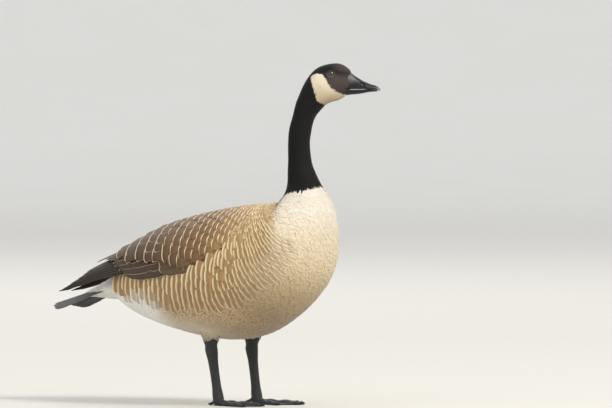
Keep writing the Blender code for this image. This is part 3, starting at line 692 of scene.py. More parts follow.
def lay(
    guide, a, b, length, half, vane, root, tip, swing=0.0, bend=0.0, cup=0.12, roll=0.0, thick=0.25,
    fray=0.0, ends=None, rise=0.85, side_rim=1.0, rows=None,
):
    """Feathers laid on a guide, as points. a and b are their roots' places. root and tip are heights
    over the guide, swing turns a feather from the lie and bend curves it sideways. With ends, the
    feathers run straight to those places instead, and length is only filled in. side_rim above 1 makes
    the rim narrower along the sides than at the tip. rows numbers the row of each feather: the tips are
    then slanted so that a row's tips meet in one line."""
    count = len(a)
    if ends:
        shares = np.linspace(0, 1, 13)[:, None]
        course = guide.pick(guide.points, a + (ends[0] - a) * shares, b + (ends[1] - b) * shares)
        length = np.linalg.norm(np.diff(course, axis=0), axis=-1).sum(0)
    length, half, root, tip, swing, bend, roll = (
        np.broadcast_to(np.asarray(v, float), (count,)) for v in (length, half, root, tip, swing, bend, roll)
    )
    steps = 8
    path_a, path_b, side_a, side_b = [], [], [], []
    start = (a, b)
    for k in range(steps + 1):
        normal = unit(guide.pick(guide.normals, a, b))
        if ends:
            a, b = (first + (last - first) * k / steps for first, last in zip(start, ends))
            step_a, step_b = (ends[0] - start[0])[:, None], (ends[1] - start[1])[:, None]
            way = unit(guide.pick(guide.along, a, b) * step_a + guide.pick(guide.across, a, b) * step_b)
        else:
            way = unit(guide.pick(guide.lie, a, b))
        across = np.cross(normal, way)
        angle = (swing + bend * k / steps)[:, None]
        cos, sin = np.cos(angle), np.sin(angle)
        way, across = way * cos + across * sin, across * cos - way * sin
        path_a.append(a)
        path_b.append(b)
        la, lb = guide.step(a, b, across)
        side_a.append(la)
        side_b.append(lb)
        da, db = guide.step(a, b, way)
        a, b = a + da * length / steps, b + db * length / steps
    slant = np.zeros(count)
    ends_at = guide.pick(guide.points, path_a[-1], path_b[-1])
    for row in np.unique(rows) if rows is not None else ():
        mine = np.flatnonzero(rows == row)
        if len(mine) > 2:
            line = np.gradient(ends_at[mine], axis=0)
            slant[mine] = (line * way[mine]).sum(-1) / (line * across[mine]).sum(-1)
    path = np.array([path_a, path_b, side_a, side_b])
    width = np.broadcast_to(vane.width, (count, len(vane.width))).copy()
    if fray:
        pulled = rng.random((count, vane.rows + 1, 2))
        pulled = pulled**8 * fray + pulled * 0.25 * fray
        edge = np.abs(vane.sigma) > 0.99
        width[:, edge] *= 1 - pulled[:, vane.row[edge], (vane.sigma[edge] > 0).astype(int)]
    out = vane.sigma * width * half[:, None]
    far = vane.tau * length[:, None] - vane.bow * half[:, None]
    far += np.clip(slant, -1.5, 1.5)[:, None] * out * vane.tau
    place = np.clip(far / length[:, None] * steps, 0, steps - 1e-6)
    i = place.astype(int)
    f = place - i
    k = np.arange(count)[:, None]
    la, lb, sa, sb = (p[i, k] * (1 - f) + p[np.minimum(i + 1, steps), k] * f for p in path)
    at_a, at_b = la + sa * out, lb + sb * out
    height = root[:, None] + (tip - root)[:, None] * (far / length[:, None]).clip(0, 1) ** rise
    height += -cup * np.abs(vane.sigma * width) ** 2 * half[:, None] + roll[:, None] * out
    height -= vane.under * thick * (1 - vane.sigma**2)
    normals = unit(guide.pick(guide.normals, at_a, at_b))
    points = guide.pick(guide.points, at_a, at_b) + normals * height[..., None]
    from_side = (1.02 - np.abs(vane.sigma)) * width * half[:, None] * np.reshape(side_rim, (-1, 1))
    inset = np.minimum(from_side, (1 - vane.tau) * length[:, None])
    middle = path[:2, int(steps * 0.75)]
    return {
        "vane": vane,
        "points": points,
        "normals": normals,
        "inset": inset,
        "barb": far - BARB_LAG * np.abs(out),
        "middle": middle,
        "length": length,
    }


def soften(mesh, points, faces, normals, under):
    """Turns the shading of laid feathers towards the body's own, as downy barbs scatter light evenly
    and hide where one feather ends."""
    corners = points[faces]
    flat = np.cross(corners[:, 2] - corners[:, 0], corners[:, 3] - corners[:, 1])
    flat = unit(flat)
    upper = ~under
    gathered = np.zeros_like(points)
    np.add.at(gathered, faces[upper].ravel(), np.repeat(flat[upper], 4, 0))
    leaning = unit(unit(gathered) * (1 - SHADING_LEAN) + normals * SHADING_LEAN)
    turned_under = np.where(under, -1.0, 1.0)[:, None, None]
    mesh.normals_split_custom_set((leaning[faces] * turned_under).reshape(-1, 3))


def coat(name, sets, finish, replaced=(), patch=0.003):
    """Sets of laid feathers as one piece. Each brings ground and rim colours, the width of its rim
    and the place of its root on the unwrapped skin."""
    points, faces, uvs, normals, under, starts = [], [], [], [], [], 0
    layers = {"ground": [], "rim": [], "inset": [], "barb": []}
    for laid in sets:
        vane, shape = laid["vane"], laid["points"].shape[:2]
        points.append(laid["points"].reshape(-1, 3))
        firsts = starts + np.arange(shape[0]) * shape[1]
        faces.append((vane.faces[None] + firsts[:, None, None]).reshape(-1, 4))
        starts += shape[0] * shape[1]
        normals.append(laid["normals"].reshape(-1, 3))
        under.append(np.tile(vane.face_under, shape[0]))
        for key in ("ground", "rim"):
            layers[key].append(np.repeat(laid[key], shape[1], 0))
        layers["inset"].append((laid["inset"] / np.asarray(laid["rim_width"]).reshape(-1, 1)).ravel())
        layers["barb"].append(laid["barb"].ravel())
        # Each feather has a small square of the picture: its upper face on the left, its under face
        # on the right.
        size = np.broadcast_to(laid.get("patch", patch), (shape[0],))[:, None, None]
        corner_sigma = vane.sigma[vane.faces][None]
        corner_tau = vane.tau[vane.faces][None]
        half_place = np.where(vane.face_under[:, None], 0.75, 0.25)[None]
        u = laid["root_uv"][:, 0][:, None, None] + size * (half_place + 0.235 * corner_sigma)
        v = laid["root_uv"][:, 1][:, None, None] + size * (0.03 + 0.94 * corner_tau)
        uvs.append(np.stack([u, v], -1).reshape(-1, 2))
    points, faces, uvs, normals, under = (np.concatenate(v) for v in (points, faces, uvs, normals, under))
    mesh = bpy.data.meshes.new(name)
    mesh.vertices.add(len(points))
    mesh.vertices.foreach_set("co", world(points).ravel())
    mesh.loops.add(faces.size)
    mesh.loops.foreach_set("vertex_index", faces.ravel())
    mesh.polygons.add(len(faces))
    mesh.polygons.foreach_set("loop_start", np.arange(0, faces.size, 4))
    mesh.update(calc_edges=True)
    mesh.validate()
    mesh.uv_layers.new(name="OFBake").data.foreach_set("uv", np.clip(uvs, 0.0005, 0.9995).ravel())
    for key in ("ground", "rim"):
        paint(mesh, key, np.concatenate(layers[key]))
    for key in ("inset", "barb"):
        mark(mesh, key, np.concatenate(layers[key]))
    mesh.shade_smooth()
    soften(mesh, points, faces, normals, under)
    return show(name, mesh, finish, replaced)


def feather_finish(
    name, roughness, sheen, barb_spacing=0.9, ragged=0.35, edge=(0.75, 1.25), streaks=0.09, band=0.2
):
    """Keratin barbs hooked into a vane: matt, with a faint sheen along the barbs, and a rim whose
    colour breaks up where the barbs part. Barbs are drawn coarser than the real 0.3 mm, to show."""
    made, tree, shader = finish_named(name)
    place = node(tree, "TexCoord").outputs["Object"]
    ground, rim = (node(tree, "Attribute", attribute_name=key).outputs["Color"] for key in ("ground", "rim"))
    inset, barb = (node(tree, "Attribute", attribute_name=key).outputs["Fac"] for key in ("inset", "barb"))
    mottle = node(tree, "TexNoise", {"Vector": place, "Scale": 900.0, "Detail": 2.0}).outputs["Fac"]
    wander = node(tree, "Math", {0: mottle, 1: 0.5}, operation="SUBTRACT").outputs[0]
    wander = node(tree, "Math", {0: wander, 1: ragged * 2}, operation="MULTIPLY").outputs[0]
    depth = node(tree, "Math", {0: inset, 1: wander}, operation="ADD").outputs[0]
    within = node(tree, "MapRange", {"Value": depth, "From Min": edge[0], "From Max": edge[1]})
    within.interpolation_type = "SMOOTHSTEP"
    # Just inside the rim the vane is darkest, and it pales again towards the shaft.
    fading = {"Value": depth, "From Min": 1.2, "From Max": 5.0, "To Min": 1 - band, "To Max": 1.06}
    dark = node(tree, "MapRange", fading).outputs[0]
    deepened = node(tree, "VectorMath", {0: ground, "Scale": dark}, operation="SCALE").outputs[0]
    colour = node(tree, "Mix", {"Factor": within.outputs[0], "A": rim, "B": deepened}, data_type="RGBA")
    turns = node(tree, "Math", {0: barb, 1: 2 * math.pi / barb_spacing}, operation="MULTIPLY").outputs[0]
    wave = node(tree, "Math", {0: turns}, operation="SINE").outputs[0]
    lighter = {"Value": wave, "From Min": -1.0, "To Min": 1 - streaks, "To Max": 1 + streaks}
    streak = node(tree, "MapRange", lighter).outputs[0]
    streaked = node(tree, "VectorMath", {0: colour.outputs["Result"], "Scale": streak}, operation="SCALE")
    bump = node(tree, "Bump", {"Height": wave, "Distance": 0.00008, "Strength": 0.5})
    feed(
        shader,
        {
            "Base Color": streaked.outputs[0],
            "Normal": bump.outputs["Normal"],
            "Roughness": roughness,
            "Sheen Weight": sheen,
            "Sheen Roughness": 0.5,
            "Specular IOR Level": 0.3,
        },
    )
    return made


down_finish = feather_finish("soft_contour_feathers", 0.8, 0.2, edge=(0.1, 1.4), streaks=0.04)
velvet_finish = feather_finish("velvety_black_feathers", 0.75, 0.04, streaks=0.04)

# Spacing of the feathers' roots by station, widened down the body.
SPACING = (
    (0, 4.6), (4, 4.4), (7, 3.9), (9, 3.4), (12, 2.6), (13.2, 1.9), (14, 1.5), (17, 1.3),
    (20, 1.2), (23, 1.05), (26, 0.98), (31, 0.95),
)
SCATTER_TRIES = 9


def scatter(guide, row_spacing, wanted):
    """Roots spread evenly at random over a guide, no two nearer than the spacing there."""
    cell = np.linalg.norm(np.cross(guide.along, guide.across), axis=-1)
    spacing = np.broadcast_to(row_spacing[:, None], cell.shape)
    weight = cell / spacing**2 * wanted
    weight = weight / weight.sum()
    area = (cell * wanted / spacing**2).sum()
    count = int(area * SCATTER_TRIES)
    picked = rng.choice(cell.size, count, p=weight.ravel())
    a = picked // guide.sides + rng.random(count) - 0.5
    b = picked % guide.sides + rng.random(count) - 0.5
    a = np.clip(a, 0, guide.rows - 1.001)
    points = guide.pick(guide.points, a, b)
    reach = guide.pick(spacing[..., None], a, b)[:, 0]
    tree = kdtree.KDTree(count)
    for i, point in enumerate(points):
        tree.insert(point, i)
    tree.balance()
    free = np.ones(count, bool)
    kept = []
    for i in range(count):
        if free[i]:
            kept.append(i)
            for _, j, _ in tree.find_range(points[i], reach[i]):
                free[j] = False
    return a[kept], b[kept], reach[kept]


roots_a, roots_b, gap = scatter(body, read_by(SPACING, station_of_row), np.ones(body.points.shape[:2]))
root_points = body.pick(body.points, roots_a, roots_b)
root_upright = turned(root_points, -HEAD_TURN)
eye_distance, _ = eye_side(root_points)
on_head = root_points[:, 2] > HEAD_FROM
keep = ~(on_head & (eye_distance < 6.25)) & ~(on_head & (feather_edge(root_upright) < 0))
roots_a, roots_b, gap, eye_distance, on_head = (
    values[keep] for values in (roots_a, roots_b, gap, eye_distance, on_head)
)
near_eye = np.where(on_head, smooth(6.2, 12, eye_distance), 1)
station = roots_a / STATION_STEPS
coat_depth = read_by(COAT_DEPTH, station)
feather_length = gap * 5.4 * rng.uniform(0.8, 1.2, len(gap)) * (0.5 + 0.5 * near_eye)
feather_half = gap * (1.25 - 0.6 * smooth(12, 14, station)) * rng.uniform(0.85, 1.15, len(gap))


def unwrapped(guide, a, b, spread=0.98):
    """Places of roots on a closed surface laid out flat."""
    return np.stack([(b / guide.sides) % 1 * spread, a / guide.rows * spread], -1)


def body_coat(name, chosen, vane, finish, slot):
    """One piece of the body's coat, from the roots chosen."""
    a, b = roots_a[chosen], roots_b[chosen]
    count = len(a)
    laid = lay(
        body,
        a,
        b,
        feather_length[chosen],
        feather_half[chosen],
        vane,
        -coat_depth[chosen] - 0.3,
        rng.normal(0.1, 0.08, count) * np.minimum(1, gap[chosen] / 3),
        swing=rng.normal(0, 0.07, count),
        bend=rng.normal(0, 0.08, count),
        thick=0.08 + 0.02 * gap[chosen].mean(),
        fray=0.3,
        cup=0.06,
        rise=0.4,
    )
    middle = body.pick(body.points, *laid["middle"])
    around = (laid["middle"][1] / body.sides) % 1
    spots = middle + rng.normal(0, 0.35, (count, 3)) * gap[chosen][:, None]
    ground, rim = markings(spots, 1 - np.abs(around * 2 - 1))
    tone = rng.normal(1, 0.03, (count, 1))
    laid.update(
        ground=ground * tone,
        rim=rim * tone,
        rim_width=gap[chosen] * 0.5,
        root_uv=unwrapped(body, a, b, 0.99),
    )
    return coat(name, [laid], finish)


# Roots under the folded wings are left out, as the wings' own feathers cover them.
root_points = root_points[keep]
around = 1 - np.abs((roots_b / body.sides) % 1 * 2 - 1)
covered = (root_points[:, 0] < 46) & (root_points[:, 0] > -150) & (around < 0.36)
covered |= (root_points[:, 0] <= 46) & (root_points[:, 0] > -60) & (around < 0.44)
covered |= (root_points[:, 0] > 40) & (root_points[:, 0] < 74) & (around < 0.28)
under_flank = (station > 1.8) & (station < 7.2) & (np.abs(around - 0.54) < 0.07)
hidden = (covered | under_flank) & (station < 8)
# Each piece of the coat, from which station to which along the body, and its vane, finish and slot.
BODY_COATS = (
    ("coat_crown", 24.5, math.inf, down_vane, velvet_finish, "black_plumage"),
    ("coat_face", 20.5, 24.5, down_vane, velvet_finish, "black_plumage"),
    ("coat_neck_upper", 17, 20.5, neck_vane, velvet_finish, "black_plumage"),
    ("coat_neck_lower", 13.2, 17, neck_vane, velvet_finish, "black_plumage"),
    ("coat_breast", 8, 13.2, body_vane, down_finish, "body_plumage"),
    ("coat_body", 0, 8, body_vane, down_finish, "body_plumage"),
)
for coat_name, first_station, last_station, *dress in BODY_COATS:
    body_coat(coat_name, (station >= first_station) & (station < last_station) & ~hidden, *dress)

# Flank feathers: long and square-ended, in rows down the side, with their tips lying up over the lower
# edge of the folded wing. Their pale rims make the side's upright bars.
RING_DEGREES = 360 / RING_POINTS
LEFT_SIDE, BREAST_LINE, RIGHT_SIDE = (RING_POINTS * quarter // 4 for quarter in (1, 2, 3))
FLANK_STATIONS = (10.4, 1.4)
FLANK_LOWEST = 122.0
# From the first row to the last: how far apart the rows are and the feathers in a row, and a
# feather's length, half width and width of rim.
FLANK_PITCH = (5.0, 14.0)
FLANK_SPACING = (14.0, 20.0)
FLANK_LENGTH = (30, 62)
FLANK_HALF_WIDTH = (10.5, 20.5)
FLANK_RIM_WIDTH = (2.2, 4.6)
NO_SIDE_RIM = 1000.0
# Where the rows start below the wing, by x: degrees from the back's midline.
FLANK_TOP = ((-111, 97), (-49, 84), (12, 70), (46, 62), (62, 52), (100, 44))
SQUARE = ((0, 0.3), (0.2, 0.7), (0.5, 1.0), (0.88, 1.0), (0.96, 0.96), (1.0, 0.84))
long_vane = Vane(14, 8, SQUARE, 0.14)


def rows_along(length, first, last):
    """Places of rows along a length, with a pitch that changes evenly from first to last."""
    places = [0.0]
    while places[-1] < length:
        share = places[-1] / length
        places.append(places[-1] + first + (last - first) * share)
    return np.array(places[:-1])


def flank_set(side):
    line = body.points[:, LEFT_SIDE if side > 0 else RIGHT_SIDE]
    lengths = np.concatenate([[0], np.linalg.norm(np.diff(line, axis=0), axis=-1).cumsum()])
    ends = np.interp(np.array(FLANK_STATIONS) * STATION_STEPS, np.arange(body.rows), lengths)
    found = []
    for k, place in enumerate(rows_along(ends[0] - ends[1], *FLANK_PITCH)):
        row = np.interp(ends[0] - place, lengths, np.arange(body.rows))
        part = place / (ends[0] - ends[1])
        first = read_by(FLANK_TOP, line[int(row), 0] - 44 - 18 * part) + 7 - 9 * smooth(0.4, 0.65, part)
        # Ahead of the wing the rows reach on, up to the back.
        first -= 36 * smooth(7.8, 10.2, row / STATION_STEPS)
        step = np.degrees(between(FLANK_SPACING, part) / body.points[int(row), LEFT_SIDE, 1])
        # Every second row starts half a feather lower.
        lower = step * (k % 2) / 2
        angles = np.arange(first + lower, FLANK_LOWEST, step)
        found.append(np.stack(np.broadcast_arrays(row, angles, angles - lower, part, first, k)))
    a, angle, level, share, top, row_number = np.hstack(found)
    count = len(a)
    # The rows bow: their upper and lower ends come forward.
    upper = smooth(26, 0, angle - top) * smooth(0.1, 0.35, share)
    low = smooth(92, 119, angle)
    # Towards the belly they pale, row by row and not feather by feather.
    paling = smooth(98, 122, level)
    forward = 15 * upper + 9 * low + rng.normal(0, 0.4, count)
    a = a + forward / np.interp(a, np.arange(body.rows), np.gradient(lengths))
    angle = angle + rng.normal(0, 0.6, count)
    b = side * angle / RING_DEGREES
    laid = lay(
        body,
        a,
        b,
        between(FLANK_LENGTH, share) * rng.uniform(0.97, 1.03, count),
        between(FLANK_HALF_WIDTH, share) * rng.uniform(0.95, 1.05, count),
        long_vane,
        -4.5,
        0.9 + 6.5 * upper + rng.normal(0, 0.1, count),
        swing=side * (np.radians(3 + 8 * upper) + rng.normal(0, 0.03, count)),
        bend=side * 0.1,
        roll=side * 0.03,
        cup=0.03,
        thick=0.35,
        fray=0.12,
        side_rim=NO_SIDE_RIM,
        rows=row_number,
    )
    front = smooth(0.45, 0.12, share)
    middle = body.pick(body.points, *laid["middle"])
    plain, plain_rim = markings(middle, np.abs(laid["middle"][1] / BREAST_LINE))
    ground = blended(linear(FLANK), plain, np.maximum(front * 0.85, paling))
    rim = blended(linear(FLANK_RIM), plain_rim, np.maximum(front * 0.5, paling))
    tone = rng.normal(1, 0.04, (count, 1))
    laid.update(
        ground=ground * tone,
        rim=rim * tone,
        rim_width=between(FLANK_RIM_WIDTH, share),
        root_uv=unwrapped(body, a, b),
        patch=0.009,
    )
    return laid


flank_finish = feather_finish(
    "barred_flank_feathers", 0.75, 0.15, ragged=0.25, edge=(0.3, 1.5), streaks=0.05, band=0.35
)
for flank_name, side in SIDES.items():
    coat("coat_flank_" + flank_name, [flank_set(side)], flank_finish)

# Folded wings: stiff quills lie under rows of coverts, and the broad feathers of the shoulder and
# mantle lie over both. Each tier is drawn on the wing's own surface, its roots under the tier ahead.
WING_FORM = (
    (90, 335.5, 105, 228),
    (40, 331, 109, 222),
    (0, 325, 110.5, 220),
    (-60, 311, 107, 220),
    (-120, 291, 90, 220),
    (-180, 262, 67, 216),
    (-240, 235, 47, 208),
    (-300, 205, 31, 189),
    (-340, 190, 22, 178),
)
QUILL = ((0, 0.3), (0.15, 0.8), (0.45, 1.0), (0.75, 0.92), (0.92, 0.62), (1.0, 0.2))
BROAD = ((0, 0.3), (0.2, 0.75), (0.55, 1.0), (0.88, 0.95), (1.0, 0.6))
quill_vane = Vane(26, 6, QUILL, 0.7)
covert_vane = Vane(16, 6, BROAD, 0.9)
mantle_vane = Vane(16, 8, SQUARE, 0.3)
# Rows: count, roots and tips of the first and last feather as (x, degrees from the midline), half
# width, height over the wing's surface at the first and last tip, tilt, vane, ground, rim, rim width.
WING_ROWS = (
    (
        7, ((-112, 82), (-104, 56)), ((-324, 84), (-264, 45)), 9.5, (-3.0, 1.0), 0.05,
        "quill", "#241b16", "#6d5a47", 0.8,
    ),
    (
        9, ((-34, 80), (-22, 26)), ((-168, 92), (-250, 20)), 16.5, (3.4, 4.6), 0.13,
        "quill", "#49382b", "#b1977a", 1.2,
    ),
    (
        9, ((8, 78), (0, 32)), ((-84, 86), (-120, 38)), 16.5, (3.6, 4.0), 0.08,
        "covert", "#5a4634", "#c9ac86", 1.6,
    ),
    (
        9, ((36, 74), (28, 30)), ((-38, 80), (-64, 36)), 16.0, (2.2, 2.6), 0.05,
        "covert", "#5d4835", "#c9ac86", 1.6,
    ),
    (
        9, ((66, 66), (58, 28)), ((8, 72), (-14, 30)), 15.0, (1.0, 1.4), 0.03,
        "covert", "#5f4a37", "#b89d78", 1.4,
    ),
)
WING_VANES = {"quill": quill_vane, "covert": covert_vane}
# The wing's surface as a grid: from which x back and from which degrees down, to where, and its cells.
WING_FRONT, WING_REAR, WING_CELL = 125, -350, 5
WING_FIRST, WING_LAST, WING_DEGREES = -12, 118, 3
MANTLE_ENDS = (100, -136)
# From the first row to the last: how far apart the rows are and, in degrees, the feathers in a row,
# and a feather's length, half width and width of rim.
MANTLE_PITCH = (4.4, 24.0)
MANTLE_STEP = (8.0, 12.0)
MANTLE_LENGTH = (26, 68)
MANTLE_HALF_WIDTH = (12.0, 23.0)
MANTLE_RIM_WIDTH = (1.9, 2.5)
MANTLE_TONES = ((0, "#c4a675"), (0.12, "#a6855a"), (0.35, "#77593a"), (0.7, "#513b27"), (1, "#443222"))
MANTLE_SPREAD = ((100, 46), (80, 59), (60, 60), (40, 63), (10, 70), (-40, 72), (-90, 56), (-136, 34))


def wing_guide(side):
    rows = splined(WING_FORM, 4)[::-1]
    x = np.arange(WING_FRONT, WING_REAR, -WING_CELL, float)[:, None]
    angle = np.radians(np.arange(WING_FIRST, WING_LAST, WING_DEGREES, float))[None]
    top, half_width, middle = (np.interp(x, rows[:, 0], rows[:, i]) for i in (1, 2, 3))
    y = side * half_width * np.sin(angle)
    z = middle + (top - middle) * np.cos(angle)
    return Guide(np.stack([x + 0 * y, y, z], -1), False, headward=-1, outward=-side)


def wing_place(x, degrees):
    """Where on the grid a point of the wing lies."""
    along = (WING_FRONT - np.asarray(x, float)) / WING_CELL
    return along, (np.asarray(degrees, float) - WING_FIRST) / WING_DEGREES


def row_set(guide, side, row):
    count, roots, tips, half, heights, tilt, kind, ground, rim, rim_width = row
    share = np.linspace(0, 1, count)[:, None]
    root, tip = between(np.array(roots), share), between(np.array(tips), share)
    tip = tip + rng.normal(0, 1, (count, 2)) * (2.0, 0.5)
    laid = lay(
        guide,
        *wing_place(*root.T),
        0,
        half * rng.uniform(0.95, 1.05, count),
        WING_VANES[kind],
        -3.0,
        between(heights, share[:, 0]),
        roll=-side * tilt,
        cup=0.08,
        thick=0.5,
        fray=0.14,
        ends=wing_place(*tip.T),
        rise=0.6,
        side_rim=1.0 if kind == "quill" else 1.6,
    )
    tone = rng.normal(1, 0.06, (count, 1))
    laid.update(ground=linear(ground) * tone, rim=linear(rim) * tone, rim_width=rim_width)
    return laid


def mantle_set(guide, side):
    """Broad feathers from the neck's foot to the hips, in rows across the back, growing rearwards."""
    found = []
    length = MANTLE_ENDS[0] - MANTLE_ENDS[1]
    for k, place in enumerate(rows_along(length, *MANTLE_PITCH)):
        part = place / length
        at = MANTLE_ENDS[0] - place
        step = between(MANTLE_STEP, part)
        angles = np.arange(step * (k % 2) / 2, read_by(MANTLE_SPREAD[::-1], at), step)
        bowed = at + 8 * np.sin(np.radians(angles)) * part
        found.append(np.stack(np.broadcast_arrays(bowed, angles, part, k)))
    x, degrees, share, row_number = np.hstack(found)
    count = len(x)
    x = x + rng.normal(0, 0.4, count)
    degrees = degrees + rng.normal(0, 0.4, count)
    reach = between(MANTLE_LENGTH, share) * rng.uniform(0.975, 1.025, count)
    drift = (2 + 12 * share) * smooth(6, 40, degrees)
    laid = lay(
        guide,
        *wing_place(x, degrees),
        0,
        between(MANTLE_HALF_WIDTH, share) * rng.uniform(0.95, 1.05, count),
        mantle_vane,
        -3.0 + 3.0 * smooth(0.3, 0.7, share),
        0.9 + 5.1 * smooth(0, 0.8, share) + 2.2 * smooth(0.5, 0.8, share) + rng.normal(0, 0.08, count),
        cup=0.04,
        roll=-side * 0.03,
        thick=0.35,
        fray=0.16,
        ends=wing_place(x - reach, degrees + drift),
        rise=0.7,
        side_rim=np.where(share > 0.6, 3.0, NO_SIDE_RIM),
        rows=row_number,
    )
    ground = tinted(MANTLE_TONES, share)
    rim = tinted(((0, "#e6d1a8"), (0.2, "#ead2a4"), (0.7, "#dcc092"), (1, "#c4a67a")), share)
    tone = rng.normal(1, 0.06, (count, 1))
    laid.update(ground=ground * tone, rim=rim * tone, rim_width=between(MANTLE_RIM_WIDTH, share))
    return laid


def shelved(sets, columns=24):
    """Gives each large vane its own patch, in the order of the roots on the wing laid flat."""
    total = sum(len(laid["length"]) for laid in sets)
    rows = math.ceil(total / columns)
    cell = min(1 / columns, 1 / rows)
    first = 0
    for laid in sets:
        index = first + np.arange(len(laid["length"]))
        laid["root_uv"] = np.stack([index % columns, index // columns], -1) * cell + 0.03 * cell
        laid["patch"] = 0.94 * cell
        first = index[-1] + 1
    return sets


quill_finish = feather_finish("wing_quills", 0.6, 0.08, barb_spacing=1.1, ragged=0.3, edge=(0.6, 1.3))
mantle_finish = feather_finish(
    "mantle_feathers", 0.7, 0.12, ragged=0.3, edge=(0.5, 1.2), streaks=0.05, band=0.3
)
for wing_name, side in SIDES.items():
    guide = wing_guide(side)
    sets = [row_set(guide, side, row) for row in WING_ROWS]
    coat("quills_" + wing_name, shelved(sets, 8), quill_finish, ("wing_" + wing_name,))
    coat("mantle_" + wing_name, shelved([mantle_set(guide, side)], 16), mantle_finish)

# Tail: sixteen black quills in a closed fan, rooted in a short stump of flesh, with white coverts
# over and under their roots.
TAIL_ROOT = (-206, 203)
TAIL_SLOPE = -17.0
TAIL_REACH = 138.0
TAIL_VANES = 16
TAIL_SPREAD = 15.0
TAIL_HALF_WIDTH = 12.0
TAIL_SIDE_SHORTER = 13.0
TAIL_ARCH = 95.0
TAIL_SIDE = 64
TAIL_CELL = 4.0
QUILL_ROOT = 14.0
BLUNT = ((0, 0.4), (0.2, 0.8), (0.6, 1.0), (0.9, 0.96), (1.0, 0.66))
tail_vane = Vane(24, 6, BLUNT, 0.7)
# Sections of the stump: distance from the root, half width, height over and depth under the axis.
TAIL_STUMP = (
    (-8.0, 29.0, 17.0, 36.0),
    (16.0, 28.0, 12.0, 29.0),
    (40.0, 23.0, 7.5, 19.0),
    (60.0, 16.0, 4.5, 11.0),
    (76.0, 6.0, 2.0, 5.0),
)


def tail_guide():
    """The fan's surface: a low arch round the tail's axis, pointing rearwards."""
    slope = math.radians(TAIL_SLOPE)
    distance = np.arange(0, 150, TAIL_CELL)[:, None]
    across = np.arange(-TAIL_SIDE, TAIL_SIDE + 1, TAIL_CELL)[None]
    drop = -across * across / (2 * TAIL_ARCH)
    x = TAIL_ROOT[0] - distance * math.cos(slope) + drop * math.sin(slope)
    z = TAIL_ROOT[1] + distance * math.sin(slope) + drop * math.cos(slope)
    return Guide(np.stack([x, across + 0 * x, z], -1), False, headward=-1, outward=-1)


def tail_quills():
    """The outer quills are shorter, and each lies a little under the one nearer the middle."""
    middle = (TAIL_VANES - 1) / 2
    place = (np.arange(TAIL_VANES) - middle) / middle
    angle = np.radians(TAIL_SPREAD * place)
    reach = TAIL_REACH - TAIL_SIDE_SHORTER * place**2 + rng.normal(0, 1.2, TAIL_VANES)
    root, root_side = np.full(TAIL_VANES, QUILL_ROOT), 13 * place
    tip = QUILL_ROOT + (reach - QUILL_ROOT) * np.cos(angle)
    tip_side = root_side + (reach - QUILL_ROOT) * np.sin(angle)
    height = 1.0 - 0.75 * np.abs(np.arange(TAIL_VANES) - middle) - 0.35 * (place < 0)
    laid = lay(
        tail_guide(),
        root / TAIL_CELL,
        (root_side + TAIL_SIDE) / TAIL_CELL,
        0,
        TAIL_HALF_WIDTH,
        tail_vane,
        height,
        height,
        cup=0.06,
        thick=0.5,
        fray=0.12,
        ends=(tip / TAIL_CELL, (tip_side + TAIL_SIDE) / TAIL_CELL),
    )
    tone = rng.normal(1, 0.06, (TAIL_VANES, 1))
    laid.update(ground=linear("#15110f") * tone, rim=linear("#2e2621") * tone, rim_width=0.8)
    return laid


tail_finish = feather_finish("tail_feathers", 0.5, 0.1, barb_spacing=1.1, ragged=0.2)
coat("tail_quills", shelved([tail_quills()], 4), tail_finish, ("tail",))


def stump_guide():
    """The feathered stump that the quills grow from."""
    slope = math.radians(TAIL_SLOPE)
    axis = np.array((-math.cos(slope), 0, math.sin(slope)))
    up = np.array((math.sin(slope), 0, math.cos(slope)))
    distance, half_width, rise, drop = splined(TAIL_STUMP, 6).T
    middle = np.array((TAIL_ROOT[0], 0, TAIL_ROOT[1])) + distance[:, None] * axis
    middle = middle + ((rise - drop) / 2)[:, None] * up
    angle = np.linspace(0, 2 * np.pi, 48, endpoint=False)
    high = ((rise + drop) / 2)[:, None, None] * np.cos(angle)[None, :, None] * up
    wide = half_width[:, None, None] * np.sin(angle)[None, :, None] * np.array((0, 1, 0))
    return Guide(middle[:, None] + high + wide, True, headward=-1, outward=-1)


soft_vane = Vane(8, 4, SOFT, 0.6)
stump = stump_guide()
mesh = tube(world(stump.points - stump.normals * 2.0), "tail_stump")
paint(mesh, "ground", np.tile(linear(VENT) * 0.8, (len(mesh.vertices), 1)))
show("tail_stump", mesh, skin.data.materials[0])


def stump_coverts():
    a, b, gap = scatter(stump, np.full(stump.rows, 6.5), np.ones(stump.points.shape[:2]))
    keep = a < stump.rows * 0.62
    a, b, gap = a[keep], b[keep], gap[keep]
    count = len(a)
    below = smooth(0.3, -0.2, np.cos(b / stump.sides * 2 * np.pi))
    laid = lay(
        stump,
        a,
        b,
        (32 + 12 * below) * rng.uniform(0.9, 1.1, count),
        6.0,
        soft_vane,
        -2.4,
        1.2,
        swing=rng.normal(0, 0.08, count),
        thick=0.3,
        fray=0.4,
    )
    tone = rng.normal(1, 0.03, (count, 1))
    laid.update(
        ground=linear("#e9e5dc") * tone,
        rim=linear("#f6f4ee") * tone,
        rim_width=2.0,
        root_uv=unwrapped(stump, a, b),
        patch=0.012,
    )
    return laid


coat("coat_tail_coverts", [stump_coverts()], down_finish)

# Thigh feathers: small, soft and a little darker towards the heel. They root between these heights,
# so that the lowest ones end just over the heel.
THIGH_ROOTS = (119, 178)


